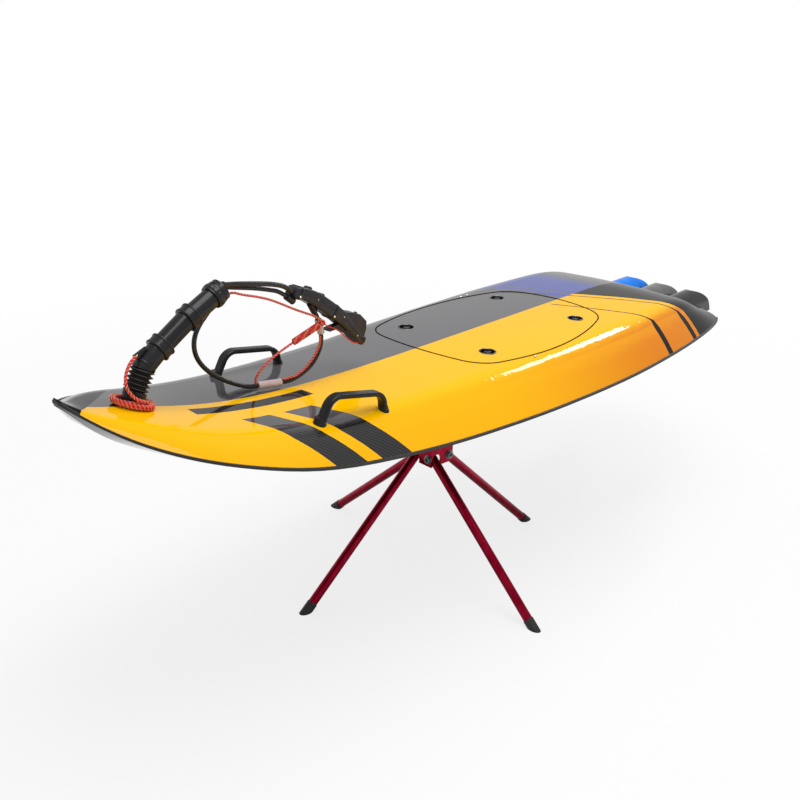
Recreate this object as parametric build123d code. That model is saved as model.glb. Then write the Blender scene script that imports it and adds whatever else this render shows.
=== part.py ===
from build123d import *
from math import atan2, cos, pi, radians, sin, sqrt, tan
import os

# Jetboard on its four-legged display stand. Millimetres, +X to the nose, +Y to port, +Z up.
# The origin is on the floor under the middle of the whole length.

# Driving sizes of the board
hull_length = 1785.0
cowl_reach = 195.0
deck_side_width = 120.0
hull_depth = 135.0
bottom_height = 405.0

# Section shape
crown_share = 0.033
shoulder_round_share = 0.14
bevel_bulge = 3.0
rail_height = 5.0
rail_width = 10.0
rail_lip = 1.5

# Engine bay and hatch
hatch_length = 542.0
hatch_width = 382.0
hatch_from_transom = 956.0
hatch_gap = 1.6
lid_underside_drop = 15.0
seal_width = 7.0
seal_height = 3.0
seal_inset = 9.0
ledge_width = 30.0
bay_floor = 12.0
rest_gap = 0.3
cut_overrun = 30.0

# Quarter-turn latches
latch_inset_x = 100.2
latch_inset_y = 79.7
latch_radius = 18.0
latch_depth = 9.0
latch_rim = 2.5
latch_dish_depth = 6.0
latch_key_length = 25.0
latch_key_width = 4.5
latch_key_height = 4.5
latch_stem_radius = 5.0
latch_stem_length = 10.0
latch_post_radius = 26.0
latch_hole_gap = 1.0

# Jet drive
jet_axis_rise = 43.0
pump_from_transom = 240.0
pump_length = 170.0
pump_bore_radius = 33.0
pump_wall = 5.0
drive_wall = 8.0
intake_bend_radius = 150.0
intake_slope = 35.0
intake_run = 150.0
impeller_hub_radius = 12.0
impeller_tip_gap = 1.0
impeller_length = 42.0
impeller_offset = 62.0
impeller_blades = 4
shaft_radius = 6.0
shaft_hole_gap = 2.0
stator_length = 34.0
stator_vanes = 5
stator_ring_wall = 2.0
stator_gap = 6.0
blade_thickness = 2.6
nozzle_flange_length = 12.0
nozzle_outer_radius = 29.0
nozzle_exit_radius = 21.0
nozzle_exit_length = 20.0
nozzle_overhang = 30.0
nozzle_wall = 4.0
nozzle_gap = 2.0
grille_length = 156.0
grille_width = 92.0
grille_thickness = 4.0
grille_bars = 4
grille_bar_width = 4.0
grille_margin = 10.0

# Engine and fuel tank in the bay
engine_length = 205.0
engine_width = 158.0
engine_height = 84.0
engine_round = 14.0
tank_length = 120.0
tank_width = 160.0
tank_height = 84.0
tank_round = 20.0

# Tail cowls
cowl_spacing = 93.0
cowl_width = 72.0
cowl_top_rise = 77.0
cowl_bottom_rise = 12.0
cowl_tip_radius = 92.0
cowl_wall = 5.0
cowl_outlet_radius = 13.0
cowl_outlet_depth = 70.0

# Grab handles
handle_front_rise = 42.0
handle_rear_rise = 34.0
handle_thickness = 9.0
handle_width = 20.0
handle_foot_radius = 13.0
handle_boot_radius = 8.0
handle_boot_height = 16.0
handle_bend_radius = 26.0

# Steering stem
stem_size = 240.0
tube_radius = 17.5
collar_radius = 21.0
collar_length = 17.0
collar_offset = 2.5
foot_flange_radius = 24.0
foot_flange_height = 5.0
foot_neck_radius = 19.0
bellows_rib_radius = 20.5
bellows_root_radius = 15.5
bellows_ribs = 5
cap_radius = 19.5
cap_length = 24.0
cap_gland_length = 4.0
cap_gland_radius = 6.0
eyelet_thickness = 5.0
eyelet_hole_radius = 3.0
eyelet_size = 16.0

# Grip
grip_length = 219.0
grip_ahead = 160.0
grip_drop = 37.5
grip_slope = 36.9
grip_width = 30.0
grip_round = 4.5
grip_corner_round = 6.0
grip_gland_radius = 6.5
grip_gland_length = 20.0
grip_boss_radius = 6.0
grip_boss_height = 2.5
pod_width = 22.0
trigger_width = 14.0
button_radius = 3.0
button_height = 2.5

# Cords
control_diameter = 9.0
throttle_diameter = 8.0
loop_diameter = 8.5
leash_diameter = 4.0
sleeve_radius = 6.8
knot_radius = 6.5
foot_rope_diameter = 5.0
foot_coil_radius = 37.5

# Stand
stand_x = 90.0
stand_turn = -5.2
foot_circle = 339.0
keel_over_crossing = 105.0
leg_offset = 19.0
leg_radius = 10.0
leg_wall = 1.6
top_reach = 107.0
foot_cap_length = 14.0
foot_cap_wall = 1.2
foot_cap_grip = 9.0
pad_length = 30.0
pad_wall = 2.6
pad_grip = 24.0
hub_plate_offset = 29.5
hub_plate_thickness = 4.0
hub_rise = 8.0
hub_drop = 37.0
hub_notch_radius = 15.5
bolt_reach = 23.0
bolt_radius = 4.0
bolt_head_radius = 8.0
bolt_head_length = 5.0
bolt_gap = 0.2

# Sections of the hull, from the nose to the transom, as shares of named sizes
# Columns: place along hull_length, half width of half_beam, keel, rail and deck height of
# hull_depth, shoulder of the half width, flat keel of the half width
HULL_SHARES = [
    (0.000, 0.019, 1.780, 1.830, 1.880, 0.50, 0.40),
    (0.013, 0.135, 1.600, 1.667, 1.756, 0.50, 0.40),
    (0.036, 0.350, 1.330, 1.452, 1.637, 0.55, 0.40),
    (0.070, 0.550, 1.090, 1.259, 1.520, 0.60, 0.40),
    (0.115, 0.675, 0.800, 1.059, 1.356, 0.63, 0.40),
    (0.178, 0.761, 0.478, 0.828, 1.184, 0.65, 0.42),
    (0.241, 0.807, 0.259, 0.682, 1.088, 0.66, 0.43),
    (0.305, 0.843, 0.118, 0.583, 1.040, 0.66, 0.45),
    (0.368, 0.875, 0.038, 0.515, 1.015, 0.66, 0.46),
    (0.431, 0.909, 0.008, 0.481, 1.004, 0.66, 0.46),
    (0.494, 0.944, 0.000, 0.465, 1.000, 0.67, 0.47),
    (0.557, 0.971, 0.000, 0.461, 1.000, 0.67, 0.47),
    (0.621, 0.992, 0.000, 0.463, 1.000, 0.67, 0.46),
    (0.684, 1.000, 0.000, 0.467, 1.000, 0.67, 0.46),
    (0.747, 0.992, 0.000, 0.472, 1.000, 0.68, 0.45),
    (0.810, 0.972, 0.000, 0.476, 1.000, 0.68, 0.45),
    (0.874, 0.937, 0.000, 0.478, 0.993, 0.69, 0.45),
    (0.937, 0.877, 0.000, 0.463, 0.888, 0.71, 0.45),
    (1.000, 0.759, 0.000, 0.400, 0.600, 0.76, 0.45),
]

# Outline of the grip, as shares of grip_length along and across its chord
GRIP_UPPER_SHARES = [(-0.02, 0.055), (0.10, 0.100), (0.31, 0.132), (0.47, 0.137), (0.62, 0.135)]
GRIP_LOWER_SHARES = [(1.00, -0.022), (0.88, -0.010), (0.72, 0.012), (0.50, 0.014), (0.30, 0.012),
                     (0.10, -0.005)]

# Hatch outline: places along its length and across its half width, as shares
EGG_SHARES = {"front corner": (0.050, 0.800), "rear corner": (0.050, 0.720), "widest": (0.520,),
              "corner round": (0.150,)}
ENGINE_SHARES = {"rear gap": (0.085,), "tank gap": (0.060,)}
BLADE_SHARES = {"root pitch": (0.45,), "tip pitch": (0.72,)}
STATOR_SHARE = 0.45
CAP_STEP_SHARE = 0.55
HANDLE_ROUND_SHARE = 0.42
HANDLE_LEAN_SHARES = (0.170, 0.035)
EYELET_HOLE_SHARE = 0.62
FACING_SHARE = 0.9
CORD_ARC_SHARE = 0.45
CORE_FIRST = 2

# More of the grip's outline, as shares of grip_length: tail, heel, bosses, gland, pod, trigger
GRIP_TAIL_SHARE = (1.03, 0.035)
GRIP_HEEL_SHARE = (-0.02, -0.042)
GRIP_BOSS_SHARES = [(0.14, 0.102), (0.31, 0.122)]
GRIP_GLAND_SHARE = (-0.040, -0.051)
POD_SHARES = [(0.62, 0.120), (0.645, 0.142), (0.73, 0.178), (0.82, 0.200), (0.93, 0.187), (0.97, 0.132),
              (1.00, 0.030)]
BUTTON_SHARES = [(0.80, 0.192), (0.89, 0.188)]
TRIGGER_SHARES = [(0.54, -0.080), (0.58, -0.035), (0.64, 0.015), (0.76, 0.010), (0.76, -0.018),
                  (0.65, -0.022), (0.575, -0.085)]

# Places on the board, as shares: back from the nose of hull_length, to port of half_beam, over the
# flat deck's height of hull_depth
STEM_FOOT_SHARES = (0.07395, 0.0, 0.5185)
HANDLE_FEET_SHARES = {
    "port": ((0.21961, 0.4984, 0.0963), (0.30140, 0.5466, -0.0296)),
    "starboard": ((0.22969, -0.4373, 0.0963), (0.31148, -0.3987, 0.0074)),
}

# The stem's bends and its eyelet's corners, as shares of stem_size ahead of and above its foot
STEM_SHARES = {
    "neck top": (-0.0300, 0.0954),
    "bellows top": (-0.1000, 0.2333),
    "first collar": (-0.2083, 0.3208),
    "second collar": (-0.4500, 0.4771),
    "end": (-0.7708, 0.6417),
}
EYELET_SHARES = [(-0.1292, 0.3750), (-0.0917, 0.2750), (-0.0292, 0.3333)]

# Where the cables leave the cap and meet the grip, as shares of the cap's radius and the grip's size
CABLE_EXIT_SHARES = {"control": (0.36, 0.31), "throttle": (-0.05, -0.36), "grip": (0.005, 0.17)}
CABLE_RUN_SHARE = 2.5

# Routes of the cords, chosen by hand, from the stem's foot
CONTROL_POINTS = [(-210.0, 6.0, 159.0), (-238.0, 5.5, 154.0), (-268.0, 5.0, 148.5), (-298.0, 5.0, 142.0)]
THROTTLE_POINTS = [(-212.0, -6.5, 150.0), (-238.0, -5.0, 145.0), (-266.0, -3.5, 139.0),
                   (-292.0, -1.5, 132.0)]
LOOP_FIRST = [(-181.0, -20.0, 121.0), (-174.0, -26.0, 106.5), (-162.0, -31.0, 90.0), (-152.0, -33.0, 70.0),
              (-151.0, -34.0, 47.0), (-160.0, -34.0, 24.0), (-179.0, -34.0, 2.0), (-203.0, -32.0, -17.0),
              (-231.0, -28.0, -33.0), (-260.0, -23.1, -45.4), (-279.0, -20.0, -47.0)]
LOOP_MIDDLE = [(-328.0, -12.0, -51.0), (-348.0, -8.7, -52.6), (-374.0, -6.0, -46.0), (-397.0, -3.0, -33.0),
               (-411.0, -1.0, -16.0), (-419.5, 0.0, 4.5), (-418.5, 0.0, 26.0)]
LOOP_LAST = [(-410.0, 0.0, 54.0), (-406.0, 0.0, 62.5), (-400.5, 0.0, 71.0)]
LEASH_FIRST = [(-191.0, 4.0, 142.4), (-203.0, 4.5, 146.6), (-222.0, 7.0, 138.5), (-252.0, 9.0, 130.0),
               (-283.0, 10.0, 119.0), (-313.0, 11.0, 104.0), (-342.0, 11.0, 89.0), (-368.0, 11.5, 77.0),
               (-391.0, 13.2, 67.0), (-401.7, 14.5, 56.5)]
KNOT_ENDS = [(-399.2, 13.8, 48.8), (-339.0, 9.0, 28.0)]
LEASH_SECOND = [(-338.8, 9.0, 27.9), (-318.0, 8.0, 21.0), (-295.0, 6.0, 11.0), (-275.0, 3.0, -2.0),
                (-263.0, -3.0, -18.0), (-265.0, -11.0, -32.0), (-272.0, -16.5, -40.4)]
LEASH_THIRD = [(-329.0, -7.0, -44.5), (-351.0, -3.0, -45.0), (-371.0, -1.0, -38.0), (-390.0, 1.0, -25.0),
               (-404.0, 3.0, -8.0), (-412.0, 5.0, 9.0), (-410.5, 5.5, 23.0)]
FOOT_ROPE_POINTS = [(-10.0, 31.0, 10.6), (5.0, 31.0, 16.5), (17.0, 26.0, 27.0), (22.0, 19.0, 41.0),
                    (18.0, 13.0, 55.0), (10.0, 9.0, 67.0), (0.0, 7.0, 77.0), (-9.5, 5.2, 80.5)]

overall_length = hull_length + cowl_reach
half_beam = hatch_width / 2 + deck_side_width
nose_x = overall_length / 2
transom_x = nose_x - hull_length
deck_height = bottom_height + hull_depth
hatch_front = transom_x + hatch_from_transom

os.makedirs("parts", exist_ok=True)
written = []


def save(name, shape):
    """Write one node's solids to its own STEP file."""
    solids = shape.solids()
    body = solids[0] if len(solids) == 1 else Compound(children=list(solids))
    body.label = name
    export_step(body, f"parts/{name}.step")
    written.append(name)
    print(name, len(solids), round(sum(s.volume for s in solids)))


def station(row):
    """Sizes of one hull section, from its row of shares."""
    place, width, keel, rail, deck, shoulder, flat = row
    half = width * half_beam
    return {
        "x": nose_x - place * hull_length,
        "half": half,
        "keel": bottom_height + keel * hull_depth,
        "rail": bottom_height + rail * hull_depth,
        "deck": bottom_height + deck * hull_depth,
        "shoulder": shoulder * half,
        "flat": flat * half,
    }


def deck_face(s):
    """Section of the upper moulding: rail chord, bevelled side, rounded shoulder, crowned top."""
    half, shoulder = s["half"], s["shoulder"]
    rail = s["rail"] + rest_gap / 2
    crown = crown_share * shoulder
    reach = shoulder_round_share * shoulder
    inner = shoulder - reach
    inner_z = s["deck"] - crown * (inner / shoulder) ** 2
    slope = -2 * crown * inner / shoulder**2
    corner = Vector(shoulder, inner_z + slope * reach)
    edge = Vector(half, rail)
    side = (edge - corner).normalized()
    outer = corner + side * reach
    middle = (corner * 2 + outer + Vector(inner, inner_z)) * 0.25
    normal = Vector(-side.Y, side.X)
    bulge = (outer + edge) * 0.5 + normal * (bevel_bulge * half / half_beam)

    def at(y, z):
        return Vector(s["x"], y, z)

    lines = [Line(at(-half, rail), at(half, rail))]
    for side_sign in (1, -1):
        lines.append(ThreePointArc(at(side_sign * half, rail), at(side_sign * bulge.X, bulge.Y),
                                   at(side_sign * outer.X, outer.Y)))
        lines.append(ThreePointArc(at(side_sign * outer.X, outer.Y), at(side_sign * middle.X, middle.Y),
                                   at(side_sign * inner, inner_z)))
    lines.append(ThreePointArc(at(inner, inner_z), at(0, s["deck"]), at(-inner, inner_z)))
    return make_face(lines)


def on_board(shares):
    """Place from its shares back from the nose, to port and over the deck."""
    back, port, over = shares
    return Vector(nose_x - back * hull_length, port * half_beam, deck_height + over * hull_depth)


def on_stem(shares):
    """Place in the centre plane from its shares of stem_size ahead of and above the stem's foot."""
    ahead, above = shares
    return foot_base + Vector(ahead * stem_size, 0, above * stem_size)


def route(points):
    """A cord's points, moved from the stem's foot to the part's origin."""
    return [foot_base + Vector(*point) for point in points]


def polygon_face(x, points):
    return make_face(Polyline(*[Vector(x, y, z) for y, z in points], close=True))


def bottom_face(s):
    """Section of the lower moulding: shallow V to a flat keel."""
    half, flat = s["half"], s["flat"]
    rail = s["rail"] - rest_gap / 2
    return polygon_face(s["x"], [(-half, rail), (-flat, s["keel"]), (flat, s["keel"]), (half, rail)])


def band_face(s, grow, height):
    """Section of the rail band, wider or narrower than the hull by grow."""
    half = s["half"] + grow
    low = s["rail"] - height / 2
    high = s["rail"] + height / 2
    return polygon_face(s["x"], [(-half, low), (half, low), (half, high), (-half, high)])


def rod(start, end, radius):
    """Round bar between two points."""
    start, end = Vector(start), Vector(end)
    plane = Plane(origin=start, z_dir=end - start)
    return extrude(plane * Circle(radius), amount=(end - start).length)


def along_x(x_from, x_to, radius, z):
    """Round bar along the board's length, on its centre plane."""
    return rod((x_from, 0, z), (x_to, 0, z), radius)


def block(x, y, z, length, width, height):
    """Box with its middle over (x, y) and its foot at z."""
    return Pos(x, y, z + height / 2) * Box(length, width, height)


def egg(grow):
    """Outline of the hatch, wider by grow all round."""
    front = hatch_front + grow
    rear = hatch_front - hatch_length - grow
    length = front - rear
    half = hatch_width / 2 + grow
    front_x = front - EGG_SHARES["front corner"][0] * length
    front_y = EGG_SHARES["front corner"][1] * half
    rear_x = rear + EGG_SHARES["rear corner"][0] * length
    rear_y = EGG_SHARES["rear corner"][1] * half
    middle_x = rear + EGG_SHARES["widest"][0] * length
    lines = [
        ThreePointArc((front_x, -front_y), (front, 0), (front_x, front_y)),
        ThreePointArc((front_x, front_y), (middle_x, half), (rear_x, rear_y)),
        ThreePointArc((rear_x, rear_y), (rear, 0), (rear_x, -rear_y)),
        ThreePointArc((rear_x, -rear_y), (middle_x, -half), (front_x, -front_y)),
    ]
    face = make_face(lines)
    return fillet(face.vertices(), EGG_SHARES["corner round"][0] * length)


def egg_prism(grow, low, high):
    return extrude(Pos(0, 0, low) * egg(grow), amount=high - low)


def tube_route(name, points, diameter):
    """Round cord along straight runs joined by tangent arcs as large as the runs allow."""
    runs = [b - a for a, b in zip(points, points[1:])]
    radii = []
    for before, after in zip(runs, runs[1:]):
        half_turn = radians(before.get_angle(after)) / 2
        radii.append(CORD_ARC_SHARE * min(before.length, after.length) / tan(half_turn))
    print(name, "radii", [round(r) for r in radii])
    path = FilletPolyline(*points, radius=radii) if radii else Line(points[0], points[1])
    start = Plane(origin=points[0], z_dir=runs[0])
    solid = sweep(start * Circle(diameter / 2), path=path)
    section = pi * diameter**2 / 4
    filled = solid.volume / (section * path.length)
    print(name, "volume check", round(filled, 4), "length", round(path.length))
    return solid


foot_base = on_board(STEM_FOOT_SHARES)
loop_first, loop_middle, loop_last = (route(points) for points in (LOOP_FIRST, LOOP_MIDDLE, LOOP_LAST))
leash_first = route(LEASH_FIRST)
stations = [station(row) for row in HULL_SHARES]
deck_raw = loft([deck_face(s) for s in stations])
bottom_raw = loft([bottom_face(s) for s in stations])

# Rail moulding: a band round the outline, where the two mouldings meet
band = loft([band_face(s, rail_lip, rail_height) for s in stations])
band_core = loft([band_face(s, -rail_width, 2 * rail_height) for s in stations[CORE_FIRST:]])
tail_cut = block(transom_x, 0, bottom_height, 2 * rail_width, 2 * overall_length, 2 * hull_depth)
band_core -= tail_cut
rail_edge = band - band_core
deck = deck_raw - rail_edge
bottom = bottom_raw - rail_edge

# Hatch recess, engine bay with its four latch posts, and the lid
ledge_z = deck_height - lid_underside_drop - rest_gap
lid_under_z = deck_height - lid_underside_drop
sky_z = deck_height + hull_depth
bay_z = bottom_height + bay_floor
deck -= egg_prism(0, ledge_z, sky_z)
latch_reach_x = hatch_length / 2 - latch_inset_x
latch_reach_y = hatch_width / 2 - latch_inset_y
latch_places = [(hatch_front - hatch_length / 2 + sx * latch_reach_x, sy * latch_reach_y)
                for sx in (1, -1) for sy in (1, -1)]
pocket = egg_prism(-ledge_width, bay_z, ledge_z)
for x, y in latch_places:
    pocket -= rod((x, y, bay_z - cut_overrun), (x, y, sky_z), latch_post_radius)
    web_y = y + (latch_post_radius if y > 0 else -latch_post_radius)
    pocket -= block(x, web_y, bay_z - cut_overrun, latch_post_radius, 2 * latch_post_radius, sky_z)
deck -= pocket
bottom -= pocket
seal = egg_prism(-seal_inset, ledge_z - seal_height, ledge_z)
seal -= egg_prism(-seal_inset - seal_width, ledge_z - seal_height, ledge_z)
deck -= seal
save("hatch_seal", seal)

lid = deck_raw & egg_prism(-hatch_gap, lid_under_z, sky_z)
latches = []
for x, y in latch_places:
    top_z = deck_height - crown_share * y**2 / (HULL_SHARES[9][5] * half_beam)
    cup_z = top_z - latch_depth
    lid -= rod((x, y, cup_z), (x, y, sky_z), latch_radius)
    lid -= rod((x, y, bay_z), (x, y, sky_z), latch_stem_radius)
    stem_z = lid_under_z - latch_stem_length
    hole_radius = latch_stem_radius + latch_hole_gap
    deck -= rod((x, y, stem_z - latch_hole_gap), (x, y, ledge_z + rest_gap), hole_radius)
    cup = rod((x, y, cup_z), (x, y, top_z), latch_radius)
    cup -= rod((x, y, top_z - latch_dish_depth), (x, y, sky_z), latch_radius - latch_rim)
    key = block(x, y, top_z - latch_dish_depth, latch_key_length, latch_key_width, latch_key_height)
    latches.append(cup + key + rod((x, y, stem_z), (x, y, cup_z), latch_stem_radius))
save("hatch_lid", lid)
save("hatch_latches", Compound(children=[solid for latch in latches for solid in latch.solids()]))

# Jet drive along the centre line: intake, pump, stator, nozzle
jet_z = bottom_height + jet_axis_rise
pump_front = transom_x + pump_from_transom
pump_rear = pump_front - pump_length
pump_radius = pump_bore_radius + pump_wall
flange_rear = pump_rear - nozzle_flange_length
bay_rear = hatch_front - hatch_length + ledge_width
bend_x = pump_front + intake_bend_radius * tan(radians(intake_slope / 2)) + nozzle_flange_length
duct_path = FilletPolyline(
    (pump_front, 0, jet_z),
    (bend_x, 0, jet_z),
    (bend_x + intake_run * cos(radians(intake_slope)), 0, jet_z - intake_run * sin(radians(intake_slope))),
    radius=intake_bend_radius,
)
duct = sweep(Plane(origin=(pump_front, 0, jet_z), z_dir=(1, 0, 0)) * Circle(pump_bore_radius), path=duct_path)
pump_hole = along_x(pump_front, flange_rear - rest_gap, pump_radius + rest_gap, jet_z)
nozzle_hole = along_x(flange_rear, transom_x - cut_overrun, nozzle_outer_radius + nozzle_gap, jet_z)
shaft_hole = along_x(pump_front, bay_rear + cut_overrun, shaft_radius + shaft_hole_gap, jet_z)
intake_x = bend_x + (jet_axis_rise / sin(radians(intake_slope))) * cos(radians(intake_slope))
grille_hole = block(intake_x, 0, bottom_height - grille_thickness, grille_length + 2 * rest_gap,
                    grille_width + 2 * rest_gap, 2 * grille_thickness)
duct_end = intake_x + pump_bore_radius / sin(radians(intake_slope))
drive_front = duct_end + drive_wall
drive_rear = flange_rear - drive_wall
drive_half = pump_radius + drive_wall
drive_slot = block((drive_front + drive_rear) / 2, 0, bottom_height - cut_overrun, drive_front - drive_rear,
                   2 * drive_half, jet_z + drive_half - bottom_height + cut_overrun)
for cutter in (drive_slot, nozzle_hole, shaft_hole, grille_hole):
    bottom -= cutter
    deck -= cutter
save("rail_edge", rail_edge - nozzle_hole)

# The drive's two mouldings fill the slot in the hull: the intake duct and the tunnel round the pump
for name, rear, front in (("intake_duct", pump_front, drive_front), ("pump_tunnel", drive_rear, pump_front)):
    moulding = block((rear + front) / 2, 0, bottom_height, front - rear - 2 * rest_gap,
                     2 * (drive_half - rest_gap), jet_z + drive_half - rest_gap - bottom_height)
    for cutter in (duct, pump_hole, nozzle_hole, shaft_hole, grille_hole):
        moulding -= cutter
    save(name, moulding)

mouth_length = grille_length - 2 * grille_margin
mouth_width = grille_width - 2 * grille_margin
grille = block(intake_x, 0, bottom_height, grille_length, grille_width, grille_thickness)
grille -= block(intake_x, 0, bottom_height - grille_thickness, mouth_length, mouth_width,
                2 * grille_thickness + cut_overrun)
save("intake_grille", grille)
slot_width = (mouth_width - grille_bars * grille_bar_width) / (grille_bars + 1)
grille_bar_solids = []
for index in range(grille_bars):
    y = (index - (grille_bars - 1) / 2) * (slot_width + grille_bar_width)
    bar = block(intake_x, y, bottom_height, mouth_length, grille_bar_width, grille_thickness)
    grille_bar_solids += bar.solids()
save("grille_bars", Compound(children=grille_bar_solids))

housing = along_x(pump_front, pump_rear, pump_radius, jet_z)
housing -= along_x(pump_front, pump_rear, pump_bore_radius, jet_z)
save("pump_housing", housing)


def bladed(count, front, length, inner, outer, pitch_share):
    """Twisted blades round the jet axis, each a loft of flat chords that turn with the radius."""
    root_pitch = BLADE_SHARES["root pitch"][0] * 90 * pitch_share
    tip_pitch = BLADE_SHARES["tip pitch"][0] * 90 * pitch_share
    chord = length / cos(radians(root_pitch))
    blades = []
    for index in range(count):
        faces = []
        for radius, pitch in ((inner, root_pitch), (outer, tip_pitch)):
            plane = Plane(origin=(front - length / 2, 0, jet_z + radius), x_dir=(1, 0, 0), z_dir=(0, 0, 1))
            reach = min(chord, length / cos(radians(pitch)))
            faces.append(plane * Rot(0, 0, pitch) * Rectangle(reach, blade_thickness))
        blade = loft(faces)
        turn = Pos(0, 0, jet_z) * Rot(360 / count * index, 0, 0) * Pos(0, 0, -jet_z)
        blades.append(turn * blade)
    return blades


impeller_front = pump_front - impeller_offset
hub_end = impeller_front - impeller_length
tip_radius = pump_bore_radius - impeller_tip_gap
impeller = along_x(impeller_front + impeller_hub_radius, hub_end, impeller_hub_radius, jet_z)
for blade in bladed(impeller_blades, impeller_front, impeller_length, impeller_hub_radius - blade_thickness,
                    pump_bore_radius + pump_wall, 1):
    trimmed = blade & along_x(impeller_front, hub_end, tip_radius, jet_z)
    impeller += trimmed
engine_rear = bay_rear + ENGINE_SHARES["rear gap"][0] * hatch_length
shaft_end = engine_rear - rest_gap
stator_front = hub_end - stator_gap
shaft_tail = stator_front - stator_length / 2
impeller += along_x(shaft_tail, shaft_end, shaft_radius, jet_z)
save("impeller", impeller)

stator_rear = stator_front - stator_length
stator = along_x(stator_front, stator_rear, impeller_hub_radius, jet_z)
for blade in bladed(stator_vanes, stator_front, stator_length, impeller_hub_radius - blade_thickness,
                    pump_bore_radius + pump_wall, -STATOR_SHARE):
    trimmed = blade & along_x(stator_front, stator_rear, pump_bore_radius - stator_ring_wall / 2, jet_z)
    stator += trimmed
ring = along_x(stator_front, stator_rear, pump_bore_radius, jet_z)
ring -= along_x(stator_front, stator_rear, pump_bore_radius - stator_ring_wall, jet_z)
stator += ring
stator -= along_x(stator_front, shaft_tail - rest_gap, shaft_radius + rest_gap, jet_z)
save("stator", stator)

nozzle_rear = transom_x - nozzle_overhang
nozzle_profile = make_face(Polyline(
    Vector(pump_rear, 0, pump_bore_radius),
    Vector(pump_rear, 0, pump_radius),
    Vector(flange_rear, 0, pump_radius),
    Vector(flange_rear, 0, nozzle_outer_radius),
    Vector(nozzle_rear + nozzle_exit_length, 0, nozzle_outer_radius),
    Vector(nozzle_rear, 0, nozzle_exit_radius + nozzle_wall),
    Vector(nozzle_rear, 0, nozzle_exit_radius),
    Vector(nozzle_rear + nozzle_exit_length, 0, nozzle_exit_radius),
    Vector(flange_rear, 0, nozzle_outer_radius - nozzle_wall),
    close=True,
))
nozzle = Pos(0, 0, jet_z) * revolve(nozzle_profile, axis=Axis.X)
save("jet_nozzle", nozzle)

engine = block(engine_rear + engine_length / 2, 0, bay_z, engine_length, engine_width, engine_height)
engine = fillet(engine.edges().filter_by(Axis.Z), engine_round)
save("engine_block", engine)
tank_rear = engine_rear + engine_length + ENGINE_SHARES["tank gap"][0] * hatch_length
tank = block(tank_rear + tank_length / 2, 0, bay_z, tank_length, tank_width, tank_height)
tank = fillet(tank.edges().filter_by(Axis.Z), tank_round)
save("fuel_tank", tank)

# Tail cowls
cowl_top = bottom_height + cowl_top_rise
cowl_low = bottom_height + cowl_bottom_rise
cowl_tail = -overall_length / 2


def cowl_bar(y, width, top, low):
    """Bar with a half-round roof along the board, from the transom back past the tail."""
    radius = width / 2
    roof_z = top - radius
    points = [Vector(transom_x, y - radius, roof_z), Vector(transom_x, y - radius, low),
              Vector(transom_x, y + radius, low), Vector(transom_x, y + radius, roof_z)]
    lines = [Line(a, b) for a, b in zip(points, points[1:])]
    lines.append(ThreePointArc(points[-1], Vector(transom_x, y, top), points[0]))
    return extrude(make_face(lines), amount=overall_length / 2 + transom_x + cut_overrun, dir=(-1, 0, 0))


drop_z = cowl_top - cowl_tip_radius
drop_x = cowl_tail + sqrt(cowl_tip_radius**2 - (cowl_low - drop_z) ** 2)
side = Pos((drop_x + transom_x) / 2, 0, cowl_top - cowl_tip_radius) * Box(
    transom_x - drop_x, overall_length, 2 * cowl_tip_radius)
tip = rod((drop_x, -half_beam, drop_z), (drop_x, half_beam, drop_z), cowl_tip_radius)
cowl_profile = side + tip
for name, y in (("port", cowl_spacing), ("centre", 0), ("starboard", -cowl_spacing)):
    cowl = cowl_bar(y, cowl_width, cowl_top, cowl_low) & cowl_profile
    if y == 0:
        cowl -= cowl_bar(y, cowl_width - 2 * cowl_wall, cowl_top - cowl_wall, cowl_low - cut_overrun)
    else:
        outlet_z = (cowl_top + cowl_low) / 2 - cowl_wall
        cowl -= rod((cowl_tail - cut_overrun, y, outlet_z), (cowl_tail + cowl_outlet_depth, y, outlet_z),
                    cowl_outlet_radius)
    save(f"tail_cowl_{name}", cowl)

# Grab handles: a flat bar bent over two feet, slanted as the deck rises to the nose
for name, feet in HANDLE_FEET_SHARES.items():
    front, rear = (on_board(foot) for foot in feet)
    front_lean, rear_lean = ((front - rear) * share for share in HANDLE_LEAN_SHARES)
    sink = Vector(0, 0, -handle_thickness)
    front_top = front - front_lean + Vector(0, 0, handle_front_rise)
    rear_top = rear + rear_lean + Vector(0, 0, handle_rear_rise)
    points = [front + sink, front_top, rear_top, rear + sink]
    path = FilletPolyline(*points, radius=handle_bend_radius)
    across = (front - rear).cross(Vector(0, 0, 1))
    start = Plane(origin=points[0], x_dir=across, z_dir=points[1] - points[0])
    section = RectangleRounded(handle_width, handle_thickness, handle_thickness * HANDLE_ROUND_SHARE)
    bar = sweep(start * section, path=path)
    for foot in (front, rear):
        bar += Pos(*foot) * Cone(handle_foot_radius, handle_boot_radius, handle_boot_height)
    save(f"grab_handle_{name}", bar - deck_raw)

# Stem: foot on the deck, bellows, bent tube of three lengths, collars, cap, eyelet
neck_top, bellows_top, bend_1, bend_2, stem_end = (on_stem(shares) for shares in STEM_SHARES.values())
foot_up = (neck_top - foot_base).normalized()
bellows_up = (bellows_top - neck_top).normalized()
stem_out = (stem_end - bend_2).normalized()
stem_normal = Vector(-stem_out.Z, 0, stem_out.X) * -1
stem_cut = Plane(origin=neck_top, z_dir=bellows_up)
foot_low = foot_base - foot_up * foot_flange_radius
foot = rod(foot_low, foot_base + foot_up * foot_flange_height, foot_flange_radius)
foot += rod(foot_base, neck_top + foot_up * collar_length, foot_neck_radius)
foot = split(foot, bisect_by=stem_cut, keep=Keep.BOTTOM)
foot -= deck_raw
save("stem_foot", foot)

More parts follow.
